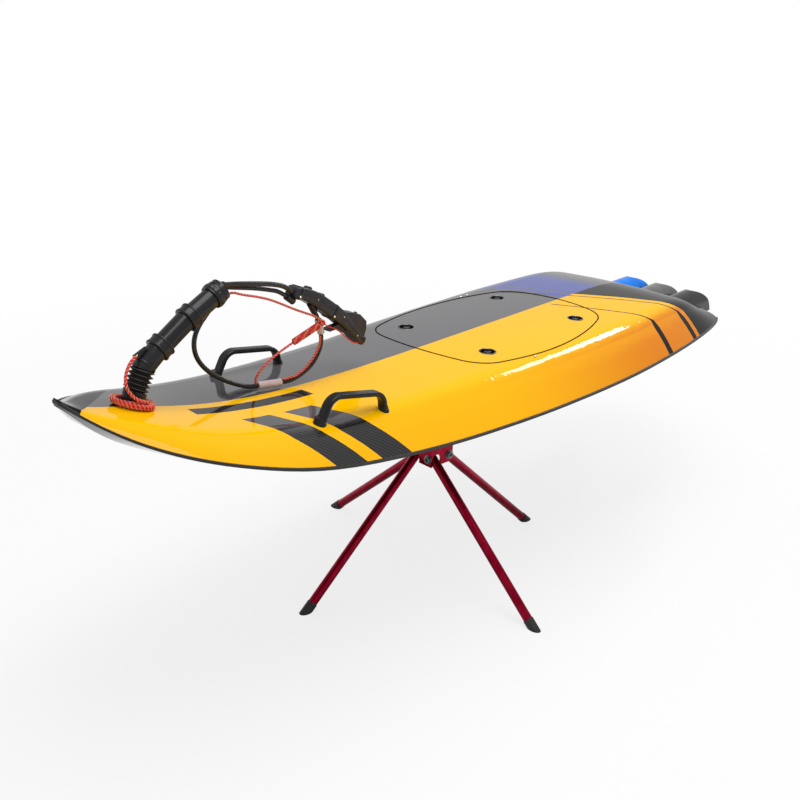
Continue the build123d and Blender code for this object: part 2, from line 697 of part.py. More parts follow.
bellows_length = (bellows_top - neck_top).length
pitch = bellows_length / bellows_ribs
outline = [Vector(0, 0, 0), Vector(bellows_root_radius, 0, 0)]
for index in range(bellows_ribs):
    outline.append(Vector(bellows_rib_radius, 0, (index + 0.5) * pitch))
    outline.append(Vector(bellows_root_radius, 0, (index + 1) * pitch))
outline.append(Vector(0, 0, bellows_length))
bellows = revolve(make_face(Polyline(*outline, close=True)), axis=Axis.Z)
save("stem_bellows", stem_cut.location * bellows)

tube = rod(bellows_top - (bend_1 - bellows_top).normalized() * tube_radius, bend_1, tube_radius)
tube = split(tube, bisect_by=Plane(origin=bellows_top, z_dir=bellows_up), keep=Keep.TOP)
cap_start = stem_end - stem_out * cap_length
tube += rod(bend_1, bend_2, tube_radius) + Pos(*bend_1) * Sphere(tube_radius)
tube += rod(bend_2, cap_start, tube_radius) + Pos(*bend_2) * Sphere(tube_radius)
save("stem_tube", tube)

collars = []
for at, towards in ((bend_1, bend_2), (bend_2, stem_end)):
    out = (towards - at).normalized()
    collar = rod(at + out * collar_offset, at + out * (collar_offset + collar_length), collar_radius)
    collars.append((collar - tube).solids()[0])
save("stem_collars", Compound(children=collars))

cap = rod(cap_start, cap_start + stem_out * (cap_length * CAP_STEP_SHARE), collar_radius)
cap += rod(cap_start, stem_end, cap_radius)
loop_exit = loop_first[0]
loop_out = (loop_first[1] - loop_exit).normalized()
gland = rod(loop_exit - loop_out * collar_radius, loop_exit, grip_gland_radius)
cap += gland - tube
cable_starts = {}
for name, first in (("control", route(CONTROL_POINTS)[0]), ("throttle", route(THROTTLE_POINTS)[0])):
    rise, across = CABLE_EXIT_SHARES[name]
    start = stem_end + stem_normal * (rise * cap_radius) + Vector(0, across * cap_radius, 0)
    start += stem_out * cap_gland_length
    inward = (start - first).normalized()
    cap += rod(start, start + inward * (cap_gland_length + cap_radius / 2), cap_gland_radius)
    cable_starts[name] = start
save("stem_cap", cap)

eyelet_points = [on_stem(shares) for shares in EYELET_SHARES]
eyelet = extrude(make_face(Polyline(*eyelet_points, close=True)), amount=eyelet_thickness / 2, both=True)
eyelet_back = (eyelet_points[0] + eyelet_points[1]) / 2
hole = eyelet_back + (eyelet_points[2] - eyelet_back) * EYELET_HOLE_SHARE
eyelet -= rod(hole - Vector(0, eyelet_size, 0), hole + Vector(0, eyelet_size, 0), eyelet_hole_radius)
save("stem_eyelet", eyelet - tube)

# Grip: curved handle drawn on its chord, with the switch pod, the trigger and two cable glands
grip_start = stem_end - Vector(grip_ahead, 0, grip_drop)
grip_run = Vector(-cos(radians(grip_slope)), 0, -sin(radians(grip_slope)))
grip_up = Vector(grip_run.Z, 0, -grip_run.X)


def grip_point(u, v, y=0):
    """Point at shares u along and v above the grip's chord."""
    return grip_start + grip_run * (u * grip_length) + grip_up * (v * grip_length) + Vector(0, y, 0)


def slab(lines, width, edge_round, corners=(), corner_round=0):
    """Plate of the given width in Y from a closed outline, its corners and long edges rounded."""
    face = make_face(lines)
    if corners:
        sharp = [v for v in face.vertices() if min((Vector(*v) - c).length for c in corners) < edge_round]
        face = fillet(sharp, corner_round)
    plate = extrude(face, amount=width / 2, both=True)
    rims = [e for f in plate.faces() if abs(f.normal_at().Y) > FACING_SHARE for e in f.edges()]
    return fillet(rims, edge_round)


upper = [grip_point(*p) for p in GRIP_UPPER_SHARES]
lower = [grip_point(*p) for p in GRIP_LOWER_SHARES]
tail_top = grip_point(*GRIP_TAIL_SHARE)
grip_heel = grip_point(*GRIP_HEEL_SHARE)
grip_lines = [
    ThreePointArc(upper[0], upper[1], upper[2]),
    ThreePointArc(upper[2], upper[3], upper[4]),
    Line(upper[4], tail_top),
    Line(tail_top, lower[0]),
    Line(lower[0], lower[1]),
    ThreePointArc(lower[1], lower[2], lower[3]),
    ThreePointArc(lower[3], lower[4], lower[5]),
    Line(lower[5], grip_heel),
    Line(grip_heel, upper[0]),
]
grip_corners = [upper[0], tail_top, lower[0], grip_heel]
grip = slab(grip_lines, grip_width, grip_round, grip_corners, grip_corner_round)
for u, v in GRIP_BOSS_SHARES:
    at = grip_point(u, v)
    reach = Vector(0, grip_width / 2 - 2 * grip_round, 0)
    grip += rod(at - reach, at + reach, grip_boss_radius)
gland_face = grip_point(*GRIP_GLAND_SHARE)
grip += rod(gland_face, gland_face + grip_run * grip_gland_length, grip_gland_radius)
loop_end = loop_last[-1]
loop_in = (loop_end - loop_last[-2]).normalized()
grip += rod(loop_end, loop_end + loop_in * grip_gland_length, grip_gland_radius)
save("grip_body", grip)

pod_outline = [grip_point(*p) for p in POD_SHARES]
pod_lines = [Line(a, b) for a, b in zip(pod_outline, pod_outline[1:] + pod_outline[:1])]
pod = slab(pod_lines, pod_width, grip_boss_height)
for u, v in BUTTON_SHARES:
    at = grip_point(u, v)
    pod += rod(at - grip_up * button_height, at + grip_up * button_height, button_radius)
save("grip_pod", pod - grip)

trigger_points = [grip_point(*p) for p in TRIGGER_SHARES]
trigger = extrude(make_face(Polyline(*trigger_points, close=True)), amount=trigger_width / 2, both=True)
save("grip_trigger", trigger - grip)

# Cords
cable_rise, cable_across = CABLE_EXIT_SHARES["grip"]
cable_end = grip_point(GRIP_UPPER_SHARES[0][0], cable_rise, cable_across * grip_width)
control_points = [cable_starts["control"]] + route(CONTROL_POINTS)
control_points += [cable_end - grip_run * (control_diameter * CABLE_RUN_SHARE), cable_end]
save("control_cable", tube_route("control_cable", control_points, control_diameter))
throttle_points = [cable_starts["throttle"]] + route(THROTTLE_POINTS)
throttle_points += [gland_face - grip_run * (throttle_diameter * CABLE_RUN_SHARE), gland_face]
save("throttle_cable", tube_route("throttle_cable", throttle_points, throttle_diameter))
loop_cables = []
for index, points in enumerate((loop_first, loop_middle, loop_last)):
    loop_cables.append(tube_route(f"loop_cable_{index + 1}", points, loop_diameter))
    save(f"loop_cable_{index + 1}", loop_cables[index])
sleeves = []
for low, high in ((loop_first[-1], loop_middle[0]), (loop_middle[-1], loop_last[0])):
    play = (high - low).normalized() * rest_gap
    sleeve = rod(low + play, high - play, sleeve_radius)
    for cable in loop_cables:
        sleeve -= cable
    sleeves += sleeve.solids()
save("loop_sleeves", Compound(children=sleeves))
save("leash_1", tube_route("leash_1", leash_first, leash_diameter))
save("leash_2", tube_route("leash_2", route(LEASH_SECOND), leash_diameter))
save("leash_3", tube_route("leash_3", route(LEASH_THIRD), leash_diameter))
leash_out = (leash_first[-1] - leash_first[-2]).normalized()
ball_centre = leash_first[-1] + leash_out * (knot_radius + rest_gap)
save("leash_knot", rod(*route(KNOT_ENDS), knot_radius) + Pos(*ball_centre) * Sphere(knot_radius))

coil = rod(foot_low, foot_base + foot_up * (2 * foot_rope_diameter), foot_coil_radius)
coil -= rod(foot_base - foot_up * foot_flange_radius * 2, foot_base + foot_up * foot_flange_radius * 2,
            foot_flange_radius + rest_gap)
save("foot_rope_coil", coil - deck_raw)
save("foot_rope", tube_route("foot_rope", route(FOOT_ROPE_POINTS), foot_rope_diameter))

save("deck", deck)
save("hull_bottom", bottom)

# Stand: four legs in a pinwheel, each past the hub up to the keel
leg_cross_height = bottom_height - keel_over_crossing
hub_bottom = leg_cross_height - hub_drop
slope = atan2(leg_cross_height, foot_circle)
fall = Vector(cos(slope), 0, -sin(slope))
hub_parts = None
bolts = []
pads = []
feet = []
for index in range(4):
    turn = Pos(stand_x, 0, 0) * Rot(0, 0, stand_turn + 90 * index)
    crossing = Vector(0, -leg_offset, leg_cross_height)
    tip = crossing + fall * (foot_circle / cos(slope))
    top = crossing - fall * (top_reach / cos(slope))
    tube_start = tip - fall * foot_cap_length
    leg = rod(tube_start, top, leg_radius) - rod(tube_start, top, leg_radius - leg_wall)
    bolt_at = crossing + fall * (bolt_reach / cos(slope))
    plate_y = -hub_plate_offset - hub_plate_thickness
    leg -= rod(Vector(bolt_at.X, plate_y, bolt_at.Z), Vector(bolt_at.X, 0, bolt_at.Z), bolt_radius + bolt_gap)
    save(f"stand_leg_{index + 1}", turn * leg)

    floor = Pos(0, 0, -foot_circle) * Box(4 * foot_circle, 4 * foot_circle, 2 * foot_circle)
    foot = rod(tube_start - fall * foot_cap_grip, tip + fall * (2 * leg_radius), leg_radius + foot_cap_wall)
    foot -= rod(tube_start - fall * foot_cap_grip, tube_start, leg_radius)
    feet += (turn * (foot - floor)).solids()
    pad = rod(top + fall * pad_grip, top - fall * pad_length, leg_radius + pad_wall)
    pad -= rod(top + fall * pad_grip, top, leg_radius)
    pads += (turn * pad - bottom_raw).solids()

    plate = block(0, plate_y + hub_plate_thickness / 2, hub_bottom,
                  2 * (hub_plate_offset + hub_plate_thickness), hub_plate_thickness, hub_rise + hub_drop)
    plate -= rod(Vector(bolt_at.X, plate_y - bolt_head_length, bolt_at.Z), Vector(bolt_at.X, 0, bolt_at.Z),
                 bolt_radius + bolt_gap)
    notch = rod(crossing - fall * foot_circle / 2, crossing + fall * foot_circle / 2, hub_notch_radius)
    for other in (1, 2, 3):
        plate -= Rot(0, 0, 90 * other) * notch
    plate = turn * plate
    hub_parts = plate if hub_parts is None else hub_parts + plate
    bolt_face = Vector(bolt_at.X, plate_y, bolt_at.Z)
    bolt_end = Vector(bolt_at.X, leg_radius - leg_offset, bolt_at.Z)
    bolt = rod(bolt_face - Vector(0, bolt_head_length, 0), bolt_face, bolt_head_radius)
    bolt += rod(bolt_face, bolt_end, bolt_radius)
    bolts += (turn * bolt).solids()
save("stand_hub", hub_parts)
save("hub_bolts", Compound(children=bolts))
save("stand_feet", Compound(children=feet))
save("stand_pads", Compound(children=pads))
print(len(written), "nodes")
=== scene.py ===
import math

import bpy
from mathutils import Matrix, Vector


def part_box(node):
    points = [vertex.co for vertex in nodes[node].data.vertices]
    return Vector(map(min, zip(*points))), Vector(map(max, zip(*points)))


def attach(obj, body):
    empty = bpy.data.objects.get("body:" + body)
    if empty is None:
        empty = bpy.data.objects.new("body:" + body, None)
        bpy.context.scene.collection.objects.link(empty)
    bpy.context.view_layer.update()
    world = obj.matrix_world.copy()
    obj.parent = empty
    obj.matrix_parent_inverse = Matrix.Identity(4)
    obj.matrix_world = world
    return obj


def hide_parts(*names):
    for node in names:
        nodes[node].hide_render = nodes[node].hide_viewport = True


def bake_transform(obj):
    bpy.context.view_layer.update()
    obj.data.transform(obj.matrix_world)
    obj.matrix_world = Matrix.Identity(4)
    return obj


# Jetboard on its display stand: materials, cords, small fittings, light and camera.
# Everything is in metres in the part's own frame: +X to the nose, +Y to port, +Z up.

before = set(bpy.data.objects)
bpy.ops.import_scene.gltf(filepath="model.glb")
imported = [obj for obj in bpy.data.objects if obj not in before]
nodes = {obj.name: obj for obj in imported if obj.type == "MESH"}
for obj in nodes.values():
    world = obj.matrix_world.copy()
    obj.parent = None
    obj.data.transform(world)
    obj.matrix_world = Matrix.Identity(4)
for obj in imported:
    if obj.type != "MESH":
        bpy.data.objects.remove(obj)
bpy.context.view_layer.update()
MM = 0.001
TURN = 2 * math.pi
PORT = Vector((0, 1, 0))
UP = Vector((0, 0, 1))

# Camera of the photograph
AZIMUTH = 49.96
ELEVATION = 21.87
ROLL = 2.34
DISTANCE = 2.5401
TARGET = Vector((-0.0725, -0.233, 0.2912))
LENS = 46.43
SENSOR = 36.0

# Places of the board, from the part's own boxes
KEEL_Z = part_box("hull_bottom")[0].z
LATCH_LOW, LATCH_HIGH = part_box("hatch_latches")
LATCH_RADIUS = 0.018
DRIVE_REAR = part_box("pump_tunnel")[0].x
DRIVE_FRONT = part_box("intake_duct")[1].x
DRIVE_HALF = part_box("pump_tunnel")[1].y

# The stem, as the part has it
STEM_FOOT = Vector((0.858, 0.0, 0.610))
STEM_SIZE = 0.240
STEM_SHARES = {
    "neck top": (-0.0300, 0.0954),
    "bellows top": (-0.1000, 0.2333),
    "first collar": (-0.2083, 0.3208),
    "second collar": (-0.4500, 0.4771),
    "end": (-0.7708, 0.6417),
}
COLLAR_RADIUS = 0.021
COLLAR_LENGTH = 0.017
COLLAR_OFFSET = 0.0025
CAP_RADIUS = 0.0195
CAP_LENGTH = 0.024
CAP_STEP_SHARE = 0.55
CAP_GLAND_LENGTH = 0.004
BELLOWS_ROOT = 0.0150
BELLOWS_TIP = 0.0208
BELLOWS_RIBS = 5

# The grip, as the part has it, with shares of its length along and above its chord
GRIP_LENGTH = 0.219
GRIP_WIDTH = 0.030
GRIP_AHEAD = 0.160
GRIP_DROP = 0.0375
GRIP_SLOPE = math.radians(36.9)
GRIP_TOP_SHARES = [(-0.02, 0.055), (0.10, 0.100), (0.31, 0.132), (0.47, 0.137), (0.62, 0.135),
                   (1.03, 0.035)]
GRIP_UNDER_SHARES = [(-0.02, -0.042), (0.10, -0.005), (0.30, 0.012), (0.50, 0.014), (0.72, 0.012),
                     (0.88, -0.010), (1.00, -0.022)]
GRIP_ROUND = 0.0045
GRIP_GLAND_SHARE = (-0.040, -0.051)
CABLE_SHARES = {"control": (0.36, 0.31), "throttle": (-0.05, -0.36), "grip": (0.005, 0.17)}
CABLE_RUN = 2.5
BUTTON_SHARES = [(0.80, 0.192), (0.89, 0.188)]
BAND_SHARES = [0.035, 0.500]
SCREW_SHARES = [(0.24, 0.070), (0.62, 0.085), (0.88, 0.025)]

# Diameters of the cords
CONTROL_DIAMETER = 0.009
THROTTLE_DIAMETER = 0.008
LOOP_DIAMETER = 0.0085
LEASH_DIAMETER = 0.004
FOOT_ROPE_DIAMETER = 0.005
KNOT_RADIUS = 0.0065
KNOT_TURNS = 15
YARN_PITCH = 0.013
YARN_THICKNESS = 0.00075

# Routes of the cords, in millimetres from the stem's foot, as in the part
CONTROL_POINTS = [(-210, 6, 159), (-238, 5.5, 154), (-268, 5, 148.5), (-298, 5, 142)]
THROTTLE_POINTS = [(-212, -6.5, 150), (-238, -5, 145), (-266, -3.5, 139), (-292, -1.5, 132)]
LOOP_FIRST = [(-181, -20, 121), (-174, -26, 106.5), (-162, -31, 90), (-152, -33, 70), (-151, -34, 47),
              (-160, -34, 24), (-179, -34, 2), (-203, -32, -17), (-231, -28, -33), (-260, -23.1, -45.4),
              (-279, -20, -47)]
LOOP_MIDDLE = [(-328, -12, -51), (-348, -8.7, -52.6), (-374, -6, -46), (-397, -3, -33), (-411, -1, -16),
               (-419.5, 0, 4.5), (-418.5, 0, 26)]
LOOP_LAST = [(-410, 0, 54), (-406, 0, 62.5), (-400.5, 0, 71)]
LEASH_FIRST = [(-191, 4, 142.4), (-203, 4.5, 146.6), (-222, 7, 138.5), (-252, 9, 130), (-283, 10, 119),
               (-313, 11, 104), (-342, 11, 89), (-368, 11.5, 77), (-391, 13.2, 67), (-401.7, 14.5, 56.5)]
KNOT_ENDS = [(-399.2, 13.8, 48.8), (-339, 9, 28)]
LEASH_SECOND = [(-338.8, 9, 27.9), (-318, 8, 21), (-295, 6, 11), (-275, 3, -2), (-263, -3, -18),
                (-265, -11, -32), (-272, -16.5, -40.4)]
LEASH_THIRD = [(-329, -7, -44.5), (-351, -3, -45), (-371, -1, -38), (-390, 1, -25), (-404, 3, -8),
               (-412, 5, 9), (-410.5, 5.5, 23)]
FOOT_ROPE_POINTS = [(-10, 31, 10.6), (5, 31, 16.5), (17, 26, 27), (22, 19, 41), (18, 13, 55), (10, 9, 67),
                    (0, 7, 77), (-9.5, 5.2, 80.5)]

PULL_DIAMETER = 0.0022
PULL_POINTS = [(-412, 16.5, 48), (-420, 16, 42), (-430, 15, 37.5), (-442, 14.5, 32), (-455, 14, 23),
               (-469, 13.5, 11), (-484, 13, -1), (-497, 12.5, -9), (-507, 12, -10.5)]

# Wraps of the rope round the stem's foot: radius and height of each, in millimetres
WRAPS = [(27.4, 2.6), (33.2, 2.8), (29.6, 7.6), (34.6, 7.0), (28.0, 10.2)]
WRAP_POINTS = 14
WRAP_STEP_SHARE = 0.70
WRAP_START_SHARE = 0.25
WRAP_SWAY_SHARE = 0.02
WRAP_SWAYS = 3

# Yarns laid round a cord: points a turn, share of their thickness that is sunk, and sides
YARN_POINTS = 9
YARN_SUNK_SHARE = 0.45
YARN_SIDES = 6

# The leash's knots: points a turn, the yarn laid round their rope, and the ball's three loops
KNOT_POINTS = 14
KNOT_YARN_STEP = 0.0012
KNOT_YARN_PITCH = 0.0085
KNOT_YARN_THICKNESS = 0.0009
KNOT_YARN_SHARE = 0.72
KNOT_CORE_PROUD = 0.0004
KNOT_CORE_SIDES = 10
KNOT_ROPE_SIDES = 8
BALL_AXES = [(1, 0.2, 0), (0.2, 1, 0.3), (0, 0.2, 1)]
BALL_INSET = 0.0003
BALL_POINTS = 20

# Bellows: how far it reaches past its ends, and one rib as shares of the pitch with their radii
BELLOWS_SEAT = 0.001
BELLOWS_ROUND = 0.0010
BELLOWS_SIDES = 56
BELLOWS_RIB = [(0.04, BELLOWS_ROOT), (0.12, BELLOWS_ROOT + BELLOWS_ROUND),
               (0.40, BELLOWS_TIP - BELLOWS_ROUND), (0.46, BELLOWS_TIP), (0.54, BELLOWS_TIP),
               (0.60, BELLOWS_TIP - BELLOWS_ROUND), (0.88, BELLOWS_ROOT + BELLOWS_ROUND),
               (0.96, BELLOWS_ROOT)]

# Rims of the stem, as pairs: how far proud of the radius that carries them, and how far along
RIM_SIDES = 64
COLLAR_RIM_LENGTH = 0.003
COLLAR_RIM = [(-0.001, -0.0008), (0.0011, 0.0), (0.0013, 0.0015), (0.0011, 0.0030), (-0.001, 0.0038)]
CAP_RIM = [(-0.001, 0.0015), (0.0008, 0.0022), (0.0008, 0.0040), (-0.001, 0.0047)]
CAP_RIB_HEIGHT = 0.0006
CAP_RIB_SHARES = [(0, 0.16), (1, 0.24), (1, 0.76), (0, 0.84)]
CAP_RIBS = 22
CAP_RIB_SHARE = 0.022
CAP_RIB_POINTS = 8
TUBE_RADIUS = 0.0165
TUBE_RIM_START = 0.004
TUBE_RIM = [(0.0, 0.0), (0.0021, 0.0006), (0.0023, 0.0022), (0.0021, 0.0038), (0.0, 0.0044)]

# Fittings of the grip
BAND_PROFILE = [(-0.0006, -0.0042), (0.0007, -0.0036), (0.0010, -0.0020), (0.0010, 0.0020), (0.0007, 0.0036),
                (-0.0006, 0.0042)]
CORNER_POINTS = 6
SEAM_SHARES = (0.02, 0.96)
SEAM_HEIGHT_SHARE = 0.55
SEAM_POINTS = 24
SEAM_LINE_RADIUS = 0.0005
SCREW_INSET = 0.0002
LUG_SHARE = 0.02
BUTTON_RISE = 0.0022
BUTTON_PROFILE = [(0.0034, 0.0), (0.0034, 0.0009), (0.0026, 0.0014)]
BUTTON_SIDES = 20
TAIL_SHARE = (0.975, 0.035)
TAIL_HALF = 0.0165
TAIL_PROFILE = [(0.0040, 0.0), (0.0048, 0.0008), (0.0048, 0.0322), (0.0040, 0.0330)]

# Screws as radius and height of the head, and a head's profile in shares of these
SHELL_SCREW = (0.0016, 0.0008)
LUG_SCREW = (0.0024, 0.0026)
STUD_SCREW = (0.0032, 0.0012)
DRIVE_SCREW = (0.0024, 0.0010)
GRILLE_SCREW = (0.0030, 0.0012)
ENGINE_SCREW = (0.0045, 0.0040)
HEAD_SHARES = [(1.0, 0.0), (1.0, 0.45), (0.78, 0.9), (0.52, 1.0), (0.45, 0.4)]
SCREW_SIDES = 24
HEX = 6

# Latches of the hatch: rim, as pairs proud of the cup's radius, then the key, its socket and its floor
LATCH_SIDES = 48
LATCH_RIM = [(0.0008, -0.0010), (0.0008, 0.0005), (-0.0006, 0.0010), (-0.0014, 0.0008), (-0.0018, -0.0020)]
LATCH_KEY = [(0.0085, -0.0075), (0.0085, -0.0012), (0.0076, -0.0006)]
LATCH_SOCKET = [(0.0052, -0.0010), (0.0052, -0.0003), (0.0044, -0.0001)]
LATCH_FLOOR = [(0.0044, -0.0010), (0.0044, -0.0002)]

# Seam of the lid, and the studs beside it
BEAD_RADIUS = 0.0015
BEAD_STEP = 0.006
BEAD_SIDES = 8
RIM_RISES = (0.5, 0.8)
ROUNDED_TO = 5
DECK_STUDS = [(-0.233, -0.187, 0.5343), (-0.256, -0.186, 0.5343), (0.002, 0.191, 0.5340)]

# The stand, as the part has it, and the faces on its bolts
STAND_X = 0.090
STAND_TURN = math.radians(-5.2)
HUB_HEIGHT = 0.300
LEG_REACH = 0.339
BOLT_OUT = 0.023
BOLT_FACE = 0.0385
BOLT_Z = HUB_HEIGHT - BOLT_OUT * HUB_HEIGHT / LEG_REACH
BOLT_SOCKET = [(0.0046, -0.0002), (0.0046, 0.0006), (0.0034, 0.0007)]
WASHER_BEHIND = 0.0052
WASHER_PROFILE = [(0.0098, 0.0), (0.0104, 0.0004), (0.0104, 0.0010), (0.0098, 0.0013)]
WASHER_SIDES = 40

# Screws under the hull
DRIVE_SCREWS = 7
DRIVE_SCREW_END = 0.014
DRIVE_SCREW_EDGE = 0.0030
GRILLE_SCREW_EDGE = 0.005
SCREW_SINK = 0.0003

# Fittings in the engine bay
ENGINE_RIBS = 9
ENGINE_RIB_RADIUS = 0.0030
ENGINE_RIB_END = 0.030
ENGINE_RIB_SIDE = 0.022
ENGINE_SCREW_EDGE = 0.014
FILLER_OUT = 0.045
FILLER_NECK = [(0.0190, 0.0), (0.0190, 0.0030), (0.0165, 0.0034)]
FILLER_NECK_SIDES = 40
FILLER_CAP = [(0.0170, 0.0030), (0.0172, 0.0105), (0.0160, 0.0120)]
FILLER_GRIPS = 18
FILLER_GRIP_SHARE = 0.03
FILLER_GRIP_POINTS = 4

# Floor, world, and each lamp's place, aim, size and power
FLOOR_HALF = 60.0
FLOOR_GREY = (0.9, 0.9, 0.9, 1)
SHADOW_SHARE = 0.22
SHADOW_REACH = (0.9, 2.6)
WHITE = (1, 1, 1, 1)
WORLD_LIGHT = 0.60
LAMPS = {
    "overhead": ((0.3, 0.6, 3.0), (0.0, 0.0, 0.5), (2.0, 2.0), 45),
    "edge_strip": ((-2.18, -0.14, 2.03), (-0.10, 0.22, 0.52), (0.30, 0.70), 12),
}

# Colours, linear
YELLOW = (0.95, 0.505, 0.0, 1)
# Deeper orange of the yellow's side that falls away is painted shade
YELLOW_PAINTED_SHADE = (0.70, 0.205, 0.0, 1)
# Carbon that faces up is painted grey, a painted reflection of the white surroundings; the next colour is the
# cloth's own near black
CARBON_PAINTED_REFLECTION = (0.115, 0.110, 0.118, 1)
CARBON_SIDE = (0.001, 0.001, 0.0012, 1)
CARBON_THREAD = (0.040, 0.040, 0.042, 1)
PANEL = (0.022, 0.022, 0.024, 1)
VIOLET = (0.055, 0.080, 0.36, 1)
BLACK = (0.007, 0.007, 0.008, 1)
RUBBER = (0.010, 0.010, 0.010, 1)
STEM_BLACK = (0.006, 0.006, 0.008, 1)
CABLE_BLACK = (0.006, 0.006, 0.007, 1)
SHELL_BLACK = (0.018, 0.018, 0.022, 1)
SEAM_BLACK = (0.004, 0.004, 0.004, 1)
RED_ANODISED = (0.26, 0.003, 0.020, 1)
STEEL = (0.62, 0.62, 0.62, 1)
DARK_STEEL = (0.16, 0.16, 0.165, 1)
BRIGHT = (0.82, 0.82, 0.82, 1)
ALUMINIUM = (0.55, 0.56, 0.57, 1)
ROPE_RED = (0.80, 0.026, 0.060, 1)
ROPE_YELLOW = (0.90, 0.50, 0.09, 1)
ROPE_PINK = (0.85, 0.42, 0.36, 1)
PULL_RED = (0.72, 0.05, 0.02, 1)
PULL_ORANGE = (0.85, 0.20, 0.03, 1)
SLEEVE = (0.86, 0.66, 0.66, 1)
COWL_BLUE = (0.0, 0.19, 0.80, 1)
COWL_GREY = (0.10, 0.098, 0.098, 1)
COWL_BLACK = (0.014, 0.013, 0.014, 1)
BUTTON_WHITE = (0.80, 0.80, 0.78, 1)
TANK = (0.72, 0.70, 0.62, 1)
ENGINE = (0.25, 0.26, 0.27, 1)


class Nodes:
    """Short hand for making and joining shader nodes."""

    def __init__(self, owner):
        owner.use_nodes = True
        self.tree = owner.node_tree
        self.tree.nodes.clear()

    def add(self, kind, **values):
        node = self.tree.nodes.new(kind)
        for key, value in values.items():
            setattr(node, key, value)
        return node

    def link(self, source, target):
        self.tree.links.new(source, target)

    def feed(self, socket, value):
        if isinstance(value, bpy.types.NodeSocket):
            self.link(value, socket)
        else:
            socket.default_value = value

    def math(self, operation, a, b=0.0):
        node = self.add("ShaderNodeMath", operation=operation)
        for socket, value in zip(node.inputs, (a, b)):
            self.feed(socket, value)
        return node.outputs[0]

    def plus(self, a, b):
        return self.math("ADD", a, b)

    def minus(self, a, b):
        return self.math("SUBTRACT", a, b)

    def times(self, a, b):
        return self.math("MULTIPLY", a, b)

    def mix(self, factor, a, b, blend="MIX"):
        node = self.add("ShaderNodeMix", data_type="RGBA", blend_type=blend)
        self.feed(node.inputs[0], factor)
        self.feed(node.inputs[6], a)
        self.feed(node.inputs[7], b)
        return node.outputs[2]

    def choose(self, factor, a, b):
        node = self.add("ShaderNodeMix", data_type="FLOAT")
        self.feed(node.inputs[0], factor)
        self.feed(node.inputs[2], a)
        self.feed(node.inputs[3], b)
        return node.outputs[0]

    def position(self):
        """The object's own coordinates, which are the row frame's, and their X and Y."""
        coordinates = self.add("ShaderNodeTexCoord")
        split = self.add("ShaderNodeSeparateXYZ")
        self.link(coordinates.outputs["Object"], split.inputs[0])
        return coordinates.outputs["Object"], split.outputs[0], split.outputs[1]

    def stretched(self, vector, factors):
        node = self.add("ShaderNodeVectorMath", operation="MULTIPLY")
        self.link(vector, node.inputs[0])
        node.inputs[1].default_value = factors
        return node.outputs[0]

    def facing_up(self):
        """Z of the surface's normal."""
        geometry = self.add("ShaderNodeNewGeometry")
        split = self.add("ShaderNodeSeparateXYZ")
        self.link(geometry.outputs["Normal"], split.inputs[0])
        return split.outputs[2]

    def noise(self, vector, scale, detail=2.0):
        node = self.add("ShaderNodeTexNoise")
        self.link(vector, node.inputs["Vector"])
        node.inputs["Scale"].default_value = scale
        node.inputs["Detail"].default_value = detail
        return node.outputs["Fac"]

    def ramp(self, value, low, high):
        """0 at low, 1 at high, smooth between."""
        node = self.add("ShaderNodeMapRange", interpolation_type="SMOOTHSTEP")
        self.feed(node.inputs["Value"], value)
        node.inputs["From Min"].default_value = low
        node.inputs["From Max"].default_value = high
        return node.outputs["Result"]

    def bump(self, height, distance, strength=1.0):
        node = self.add("ShaderNodeBump")
        self.link(height, node.inputs["Height"])
        node.inputs["Distance"].default_value = distance
        node.inputs["Strength"].default_value = strength
        return node.outputs["Normal"]

    def surface(self, colour, roughness, normal=None, **constants):
        shader = self.add("ShaderNodeBsdfPrincipled")
        self.feed(shader.inputs["Base Color"], colour)
        self.feed(shader.inputs["Roughness"], roughness)
        for name, value in constants.items():
            self.feed(shader.inputs[name.replace("_", " ")], value)
        if normal is not None:
            self.link(normal, shader.inputs["Normal"])
        output = self.add("ShaderNodeOutputMaterial")
        self.link(shader.outputs[0], output.inputs["Surface"])

    def shader(self, kind, colour, strength=None):
        node = self.add(kind)
        node.inputs["Color"].default_value = colour
        if strength is not None:
            node.inputs["Strength"].default_value = strength
        return node.outputs[0]

    def seen_by_camera(self):
        return self.add("ShaderNodeLightPath").outputs["Is Camera Ray"]

    def end_with(self, kind, share, low, high):
        mixed = self.add("ShaderNodeMixShader")
        for socket, source in zip(mixed.inputs, (share, low, high)):
            self.link(source, socket)
        self.link(mixed.outputs[0], self.add(kind).inputs["Surface"])

    # Masks over the deck's plan
    def past(self, value, edge=0.0):
        return self.math("GREATER_THAN", value, edge)

    def before(self, value, edge=0.0):
        return self.math("LESS_THAN", value, edge)

    def slanted(self, x, y, slant):
        return self.plus(x, self.times(y, slant))

    def between(self, value, low, high):
        return self.times(self.past(value, low), self.before(value, high))

    def near(self, value, place, half):
        return self.before(self.math("ABSOLUTE", self.minus(value, place)), half)

    def both(self, *masks):
        result = masks[0]
        for mask in masks[1:]:
            result = self.times(result, mask)
        return result

    def either(self, *masks):
        result = masks[0]
        for mask in masks[1:]:
            result = self.math("MAXIMUM", result, mask)
        return result

    def without(self, mask):
        return self.minus(1.0, mask)


